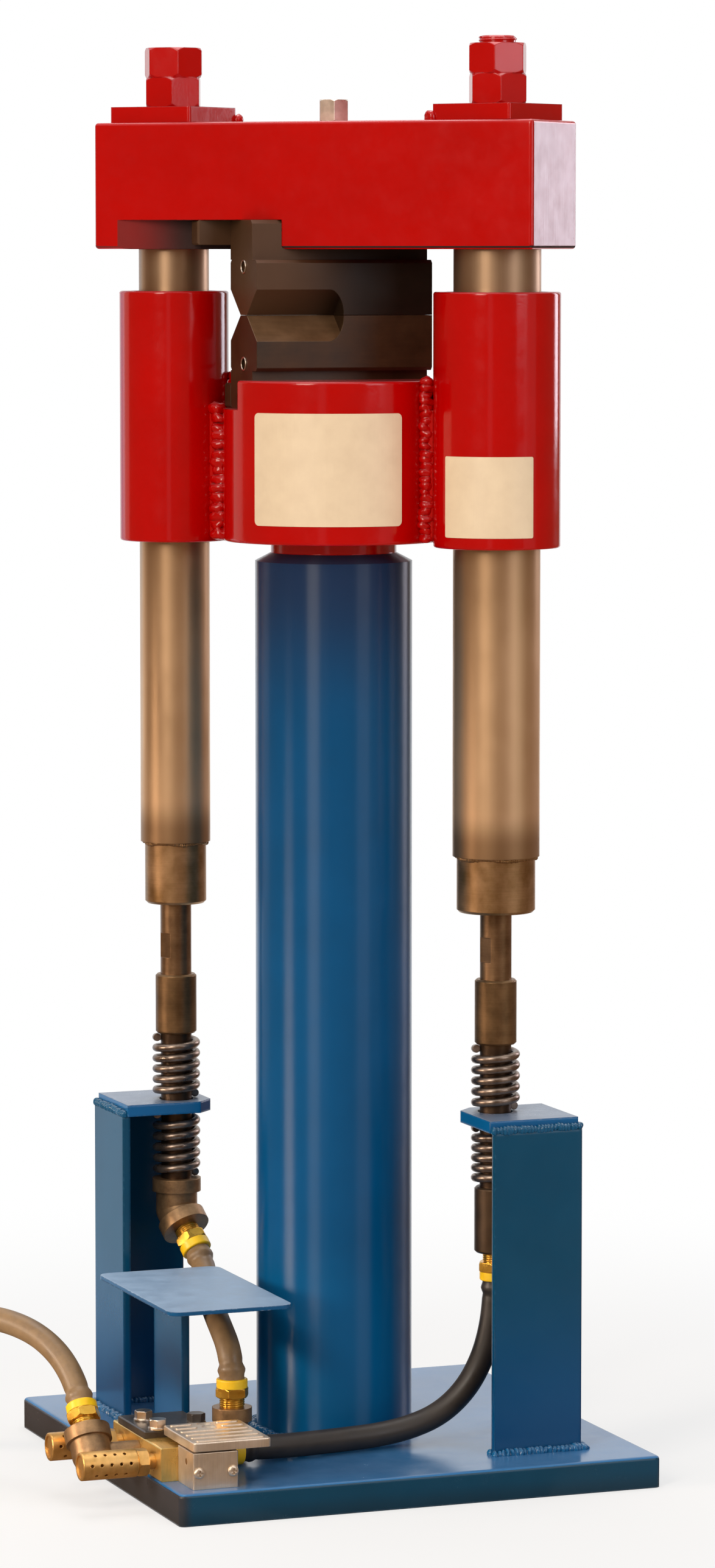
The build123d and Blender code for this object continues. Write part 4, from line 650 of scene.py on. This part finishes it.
# The slot faces under the bar are a dark red that turns near black towards the right: a painted shadow in the
# recess.
shadowed_slot_enamel = gloss_enamel("red_enamel_with_painted_slot_shadow", "#8a0e06", "#6c0a05", "#2a0c06", 0.78,
                           tints=[(RIGHTWARD, -146, -102, "#1c120d", 0.92)])
BAR_WAY = Vector((1, -1, 0)).normalized()
BAR_FRONT = Vector((1, 1, 0)).normalized()
SLOT_LOW, SLOT_TOP = 987.5, 1012.0
dress_faces(shaded_torch_cut_enamel, "crosshead", lambda face: abs(face.normal.dot(BAR_WAY)) > 0.98)
dress_faces(shadowed_slot_enamel, "crosshead",
            lambda face: SLOT_LOW * MM < face.center.z < SLOT_TOP * MM and
            max(abs(face.normal.dot(BAR_WAY)), abs(face.normal.dot(BAR_FRONT))) < 0.98)
plated_zinc = worked_metal("zinc_plated_steel", "#f2e4d6", "#d8cabb", 0.30, (4, 4, 4), 0.06)
dress(plated_zinc, "upper_die_bolt")

# Cylinder tubes: seamless steel drawn through a die and polished, so fine lines run down them and blur the
# reflections. Oil has browned them, most at their lower ends. From just below the sleeves upwards they are
# painted a darker brown, as painted shade.
drawn_steel_with_painted_shade = worked_metal("drawn_steel_with_painted_shade", "#eadccb", "#d8c6b2", 0.36, (2.2, 2.2, 260), 0.06, 0.88, 80.0,
                           tints=[(UP, 1090, 690, "#ecc192", 0.88), (UP, 540, 512, "#8f6b48", 0.75),
                                 (UP, 610, 850, "#a07c58", 0.80)])
dress(drawn_steel_with_painted_shade, "left_cylinder_tube", "right_cylinder_tube")

# Glands, rods, couplings and pistons: turned bar, oiled and browned, with the tool's rings on it. A thin bead
# joins each gland to its tube. The rods and couplings are painted dark where they stand inside the springs:
# painted shade of the coils.
browned_steel = worked_metal("oiled_turned_steel", "#c69e74", "#9a7549", 0.36, (40, 40, 0.8), 0.10, 0.9, 25.0)
dress(browned_steel, "left_gland", "right_gland", "left_piston", "right_piston")
brown_weld_tree = weld_tree(browned_steel)
GLAND_JOINT = 501.4
GLAND_WAVES, GLAND_WAVE_HEIGHT = 5, 0.7
for side_name, centre, collar in (("left", LEFT_ROD, 25.1), ("right", RIGHT_ROD, 31.5)):
    ring = ring_of_points(centre, collar, GLAND_JOINT, 6, GLAND_WAVES, GLAND_WAVE_HEIGHT)
    weld(f"{side_name}_gland_bead", brown_weld_tree, ring, 2.0, "ram", True)
rod_steel = worked_metal("browned_rod_steel_with_painted_shade", "#a5825f", "#7d6044", 0.36, (30, 30, 0.8), 0.08, 0.9, 22.0,
                         tints=[(UP, 362, 345, "#3a2e26", 0.85)])
dress(rod_steel, "left_piston_rod", "right_piston_rod")
dark_browned_steel = worked_metal("dark_oiled_steel_with_painted_shade", "#94734f", "#70563a", 0.38, (40, 40, 0.8), 0.10, 0.85,
                                  20.0, tints=[(UP, 345, 335, "#4a3d33", 0.80)])
dress(dark_browned_steel, "left_upper_coupling", "right_upper_coupling", "right_lower_coupling")

# Bushes, seals and the spool: bronze liners and rings and a polished steel spool with its return spring, all
# hidden in their bores.
liner_bronze = worked_metal("bearing_bronze", "#b07a3c", "#94622b", 0.32, (20, 20, 0.8), 0.06)
dress(liner_bronze, "guide_bushes", "rod_seals")
dress(drawn_steel_with_painted_shade, "valve_spool", "spool_spring", "pedal_pin")

# Stands and pedal guard: a steel angle welded to the base on end, with a thick plate on top that the rod goes
# through. A flat post beside the left stand carries a thin plate over the pedal. All are in blue enamel.
# The angles and the post take a darker copy of the base's blue enamel, as painted shade; it turns bluer
# towards their feet.
stand_enamel = gloss_enamel("blue_enamel_on_rolled_angle_painted_darker", "#084b6a", "#063e59", "#26597a", 0.16, edge_mm=3.6,
                            ior=1.42, tints=[(UP, 190, 40, "#004a7e", 0.70)])
dress(stand_enamel, "left_stand", "right_stand", "pedal_guard_post")
# The stand plates and the guard plate carry dust and a painted sheen on their tops; the guard's pale edges
# are painted highlights.
plate_enamel = gloss_enamel("dusty_blue_enamel_on_plate_with_painted_sheen", "#0a639b", "#065284", "#55789a", 0.11, "#c4bfba",
                            0.36, edge_mm=2.8)
dress(plate_enamel, "stand_plates")
dusty_blue_enamel_with_painted_sheen = gloss_enamel("dusty_blue_enamel_with_painted_sheen", "#055585", "#034670", "#a9c0d6", 0.16, "#b4d0ee", 0.70)
dress(dusty_blue_enamel_with_painted_sheen, "pedal_guard_plate")


# Springs: oil-tempered round wire, wound cold on a mandrel with the end turns bearing on plate and coupling.
# One above and one below each plate let the rod float, so each is held by the plate and by the rod.
def coil(name, start, way, across, radius, wire, turns, rise, material):
    """A round wire or ridge wound about an axis, in millimetres, as a mesh."""
    steps = 44
    count = round(turns * steps)
    third = way.cross(across)
    points = []
    for step in range(count + 1):
        angle = 2 * math.pi * step / steps
        out = across * math.cos(angle) + third * math.sin(angle)
        points.append((Vector(start) + out * radius + way * (rise * step / count)) * MM)
    line = poly_line(name, points)
    line.data.bevel_depth = wire / 2 * MM
    line.data.bevel_resolution = 5
    line.data.use_fill_caps = True
    line.data.materials.append(material)
    ready = line.evaluated_get(bpy.context.evaluated_depsgraph_get())
    mesh = bpy.data.meshes.new_from_object(ready)
    bpy.data.objects.remove(line)
    mesh.shade_smooth()
    made = bpy.data.objects.new(name, mesh)
    bpy.context.scene.collection.objects.link(made)
    return made


def wound_spring(name, node, centre, low, height, rod_above, material):
    """A helix of wire in place of a CAD spring."""
    outside = 39.5
    wire = 6.5
    seat = 0.25
    turns = 5.5
    start = (*centre, low + seat + wire / 2)
    rise = height - 2 * seat - wire
    made = coil(name, start, UP, RIGHTWARD, (outside - wire) / 2, wire, turns, rise, material)
    if rod_above:
        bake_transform(made)
    else:
        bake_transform(made)
    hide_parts(node)


tempered_wire = worked_metal("oil_tempered_wire", "#a08d7e", "#74655a", 0.30, (6, 6, 6), 0.08, 0.9, 12.0)
SPRINGS = [("left_upper", LEFT_ROD, 288.0, 55.0, "left_rod", True),
           ("left_lower", LEFT_ROD, 222.0, 56.5, "left_rod", False),
           ("right_upper", RIGHT_ROD, 295.0, 55.0, "right_rod", True),
           ("right_lower", RIGHT_ROD, 234.0, 51.5, "right_rod", False)]
for name, centre, low, height, body, rod_above in SPRINGS:
    wound_spring(name + "_coil", name + "_spring", centre, low, height, rod_above, tempered_wire)

# Die end holes: each die has a hole in its left end to lift it by, and the turned rim of the hole is bare and
# bright.
DIE_END, DIE_MIDDLE = -75.2, 5.0
RIM_RADIUS, RIM_WIDTH = 5.1, 1.2
for name, height, body in (("lower_die_rim", 894.8, "frame"), ("upper_die_rim", 972.4, "ram")):
    middle = (DIE_END, DIE_MIDDLE, height)
    rim = coil(name, middle, RIGHTWARD, UP, RIM_RADIUS, RIM_WIDTH, 1.0, 0.0, plated_zinc)
    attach(rim, body)

# Stud end: the right stud stands out of its locknut, so a turn and a half of its coarse thread shows, under
# the red enamel.
STUD_RADIUS, STUD_THREAD_LOW = 14.3, 1149.8
STUD_RIDGE, STUD_TURNS, STUD_RISE = 1.8, 1.5, 3.6
stud_thread = coil("right_stud_thread", (*RIGHT_ROD, STUD_THREAD_LOW), UP, RIGHTWARD, STUD_RADIUS, STUD_RIDGE,
                   STUD_TURNS, STUD_RISE, red_enamel)
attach(stud_thread, "ram")

# Pipe elbows: malleable iron, sand cast and left brown, with a raised band round each mouth.
# They turn the air into the valve, out of it and up into the left rod.
cast_iron = worked_metal("malleable_cast_iron", "#ae8a62", "#82664a", 0.42, (1.6, 1.6, 1.6), 0.35, 0.75, 14.0)
dress(cast_iron, "left_lower_elbow", "inlet_elbow", "outlet_elbow")

# Push-on hose fittings: brass bar, turned with a barbed tail and a tapered pipe thread. A yellow nylon ring
# on each shows when the hose is pushed home.
bar_brass = worked_metal("turned_brass", "#ecbb50", "#d29c36", 0.24, (12, 12, 0.7), 0.06, 0.85, 16.0)
dress(bar_brass, "hose_fittings", "left_hose_fitting", "right_hose_fitting", "supply_end_fitting")
NECK_RADIUS = 9.5
THREAD_PITCH = 1.8
THREAD_LENGTH = 6.4
THREAD_RIDGE = 1.3
THREAD_START = 0.6
FITTINGS = [("outlet", (-116, -77, 64.7), (0, 0, 1), "frame"),
            ("straight", (-145, -115.5, 38.7), (1, 0, 0), "frame"),
            ("inlet", (-240, -82.46, 56.04), (0, 0.6157, 0.788), "frame"),
            ("left", (-97.34, 87.34, 180.86), (0.183, -0.683, -0.7071), "left_rod"),
            ("right", (101, -101, 180.5), (0, 0, -1), "right_rod")]
for name, mouth, way, body in FITTINGS:
    way = Vector(way)
    across = way.orthogonal().normalized()
    thread = coil(name + "_pipe_thread", Vector(mouth) + way * THREAD_START, way, across, NECK_RADIUS,
                  THREAD_RIDGE, THREAD_LENGTH / THREAD_PITCH, THREAD_LENGTH, bar_brass)
    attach(thread, body)
yellow_nylon, tree, out = new_material("yellow_moulded_nylon")
place = add(tree, "ShaderNodeTexCoord")
haze = add(tree, "ShaderNodeTexNoise", {"Vector": place.outputs["Object"], "Scale": 1 / (6 * MM),
                                        "Detail": 4.0})
tone = add(tree, "ShaderNodeMix", {0: haze.outputs["Fac"], 6: linear("#e8b400"), 7: linear("#ffd21a")},
           data_type="RGBA")
fine = add(tree, "ShaderNodeTexNoise", {"Vector": place.outputs["Object"], "Scale": 1 / (0.8 * MM)})
skin = add(tree, "ShaderNodeBump", {"Height": fine.outputs["Fac"], "Strength": 0.08, "Distance": 0.2 * MM})
nylon = add(tree, "ShaderNodeBsdfPrincipled", {"Base Color": tone.outputs[2], "Roughness": 0.38, "IOR": 1.53,
                                               "Normal": skin.outputs[0], "Subsurface Weight": 0.08,
                                               "Subsurface Scale": 0.002})
tree.links.new(nylon.outputs[0], out.inputs["Surface"])
dress(yellow_nylon, "hose_rings", "left_hose_ring", "right_hose_ring")

# Foot valve: a brass spool body under a steel clamp plate, an aluminium actuator block with a ribbed pedal,
# and two bronze silencers. Zinc-plated bolts hold the plate down; the rear one is given the plate's dark
# steel as painted shade.
gold_brass = worked_metal("milled_brass", "#f6d382", "#e6bd68", 0.30, (1.2, 14, 14), 0.08, 0.8, 22.0)
dress(gold_brass, "valve_body")
silencer_bronze = worked_metal("aged_bronze", "#ecbd76", "#cf9b52", 0.38, (4, 12, 12), 0.10, 0.85, 14.0)
dress(silencer_bronze, "mufflers")
milled_aluminium = worked_metal("milled_aluminium", "#ecdac6", "#dac5ac", 0.34, (0.9, 12, 30), 0.12, 0.8,
                                20.0)
dress(milled_aluminium, "actuator_block", "pedal", "actuator_screws")
dark_plate = worked_metal("phosphated_steel", "#716b66", "#564f4a", 0.40, (5, 5, 5), 0.12, 0.8, 18.0)
dress(dark_plate, "valve_clamp_plate")
dress(plated_zinc, "clamp_bolts")
REAR_BOLT_SIDE = -168.0
# The rear bolt takes the dark plate steel: painted shade.
dress_faces(dark_plate, "clamp_bolts", lambda face: face.center.x > REAR_BOLT_SIDE * MM)


# Hoses: push-on rubber hose with a braid inside. The right hose is painted darker as painted shade, and the
# left and supply hoses lighter and browner, with dust and painted light. The valve feeds the left rod under
# the guard and the right rod along the base. The supply hose leaves to the left and ends in a plug.
def hose_rubber(name, deep, paler):
    """Extruded rubber with a matt cloth-wrapped skin and workshop dust rubbed into it."""
    made, tree, out = new_material(name)
    place = add(tree, "ShaderNodeTexCoord")
    tints = add(tree, "ShaderNodeTexNoise", {"Vector": place.outputs["Object"], "Scale": 1 / (16 * MM),
                                            "Detail": 7.0, "Roughness": 0.65})
    tone = add(tree, "ShaderNodeMix", {0: tints.outputs["Fac"], 6: linear(deep), 7: linear(paler)},
               data_type="RGBA")
    rough = add(tree, "ShaderNodeMapRange", {"Value": tints.outputs["Fac"], "From Min": 0.3, "From Max": 0.7,
                                             "To Min": 0.36, "To Max": 0.56})
    wrap = add(tree, "ShaderNodeTexNoise", {"Vector": place.outputs["Object"], "Scale": 1 / (1.6 * MM),
                                            "Detail": 3.0})
    skin = add(tree, "ShaderNodeBump", {"Height": wrap.outputs["Fac"], "Strength": 0.16,
                                        "Distance": 0.3 * MM})
    rubber = add(tree, "ShaderNodeBsdfPrincipled", {"Base Color": tone.outputs[2],
                                                    "Roughness": rough.outputs[0],
                                                    "Normal": skin.outputs[0], "IOR": 1.52})
    tree.links.new(rubber.outputs[0], out.inputs["Surface"])
    return made


shaded_hose_rubber = hose_rubber("hose_rubber_with_painted_shade", "#171412", "#3d342c")
lit_dusty_hose_rubber = hose_rubber("dusty_hose_rubber_with_painted_light", "#503c2a", "#a28259")
HOSE_D = 19.5


def route_curve(name, route):
    """The hose's centreline: one NURBS spline on the route's points, given in millimetres."""
    line = bpy.data.curves.new(name, "CURVE")
    line.dimensions = "3D"
    run = line.splines.new("NURBS")
    run.points.add(len(route) - 1)
    for spot, point in zip(run.points, route):
        spot.co = (*(Vector(point) * MM), 1.0)
    run.order_u = 3
    run.use_endpoint_u = True
    line.resolution_u = 12
    made = bpy.data.objects.new(name, line)
    bpy.context.scene.collection.objects.link(made)
    return made


def spline_points(curve_object):
    """Points read along a curve that has no bevel."""
    ready = curve_object.evaluated_get(bpy.context.evaluated_depsgraph_get())
    mesh = bpy.data.meshes.new_from_object(ready)
    return [v.co.copy() for v in mesh.vertices]


def hose_tube(name, route, material):
    """A rubber tube on the route's spline. It swells over the barbs at both ends, and flattens on the floor.

    For each barb: how far it is from the end, how much it swells the hose and how widely, in millimetres.
    """
    sides = 28
    guide = route_curve(name + "_guide", route)
    line = spline_points(guide)
    bpy.data.objects.remove(guide)
    far = [0.0]
    for a, b in zip(line, line[1:]):
        far.append(far[-1] + (b - a).length)
    total = far[-1]
    barbs = ((4.0, 0.6, 4.0), (13.5, 1.5, 3.0), (19.0, -0.5, 1.8))
    shell = bmesh.new()
    rings = []
    up = Vector((0.3, 0.2, 1.0)).normalized()
    for place, at in zip(line, far):
        before = line[max(len(rings) - 1, 0)]
        after = line[min(len(rings) + 1, len(line) - 1)]
        way = (after - before).normalized()
        side = way.cross(up).normalized()
        up = side.cross(way).normalized()
        near = min(at, total - at) / MM
        bulge = sum(swell * math.exp(-((near - at_barb) / wide) ** 2) for at_barb, swell, wide in barbs)
        radius = (HOSE_D / 2 + bulge) * MM
        ring = []
        for step in range(sides):
            turn = 2 * math.pi * step / sides
            spot = place + (side * math.cos(turn) + up * math.sin(turn)) * radius
            spot.z = max(spot.z, 0.0)
            ring.append(shell.verts.new(spot))
        rings.append(ring)
    for low, high in zip(rings, rings[1:]):
        for step in range(sides):
            beside = (step + 1) % sides
            shell.faces.new((low[step], low[beside], high[beside], high[step]))
    shell.faces.new(rings[0])
    shell.faces.new(rings[-1])
    bmesh.ops.recalc_face_normals(shell, faces=shell.faces)
    mesh = bpy.data.meshes.new(name)
    shell.to_mesh(mesh)
    shell.free()
    mesh.shade_smooth()
    mesh.materials.append(material)
    made = bpy.data.objects.new(name, mesh)
    bpy.context.scene.collection.objects.link(made)
    return made, line


LEFT_ROUTE = [(-116, -77, 80.7), (-116, -77, 95.7), (-116, -68, 112), (-114.5, -48, 122), (-110, -22, 128),
              (-104, 5, 132), (-98, 30, 138), (-93, 52, 147), (-91.67, 66.17, 158.94),
              (-94.41, 76.41, 169.54)]
left_tube, left_line = hose_tube("left_rubber_hose", LEFT_ROUTE, lit_dusty_hose_rubber)
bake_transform(left_tube)
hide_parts("left_hose")

RIGHT_ROUTE = [(-129, -115.5, 38.7), (-114, -115.5, 38.7), (-92, -112.5, 37.5), (-62, -106, 36.3),
               (-30, -100, 36), (0, -97, 36.5), (29, -96, 40.5), (55, -97, 50), (76, -98.5, 68),
               (90, -100, 92), (98, -101, 120), (101, -101, 149.5), (101, -101, 164.5)]
right_tube, right_line = hose_tube("right_rubber_hose", RIGHT_ROUTE, shaded_hose_rubber)
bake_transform(right_tube)
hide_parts("right_hose")

SUPPLY_ROUTE = [(-240, -72.6, 68.64), (-240, -63.37, 80.46), (-243, -50, 97), (-250, -34, 112),
                (-262, -15, 124), (-279, 7, 131), (-299, 31, 132), (-318, 55, 124), (-334, 78, 107),
                (-346, 99, 82), (-354, 119, 55), (-359.5, 139, 31), (-363, 162, 15.5), (-365.5, 190, 10.5),
                (-366.5, 219, 10.1)]
supply_tube, supply_line = hose_tube("supply_rubber_hose", SUPPLY_ROUTE, lit_dusty_hose_rubber)
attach(supply_tube, "frame")
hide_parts("supply_hose")

# The bounds of the dressed scene, leaving out the floor and the wall.
low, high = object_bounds()
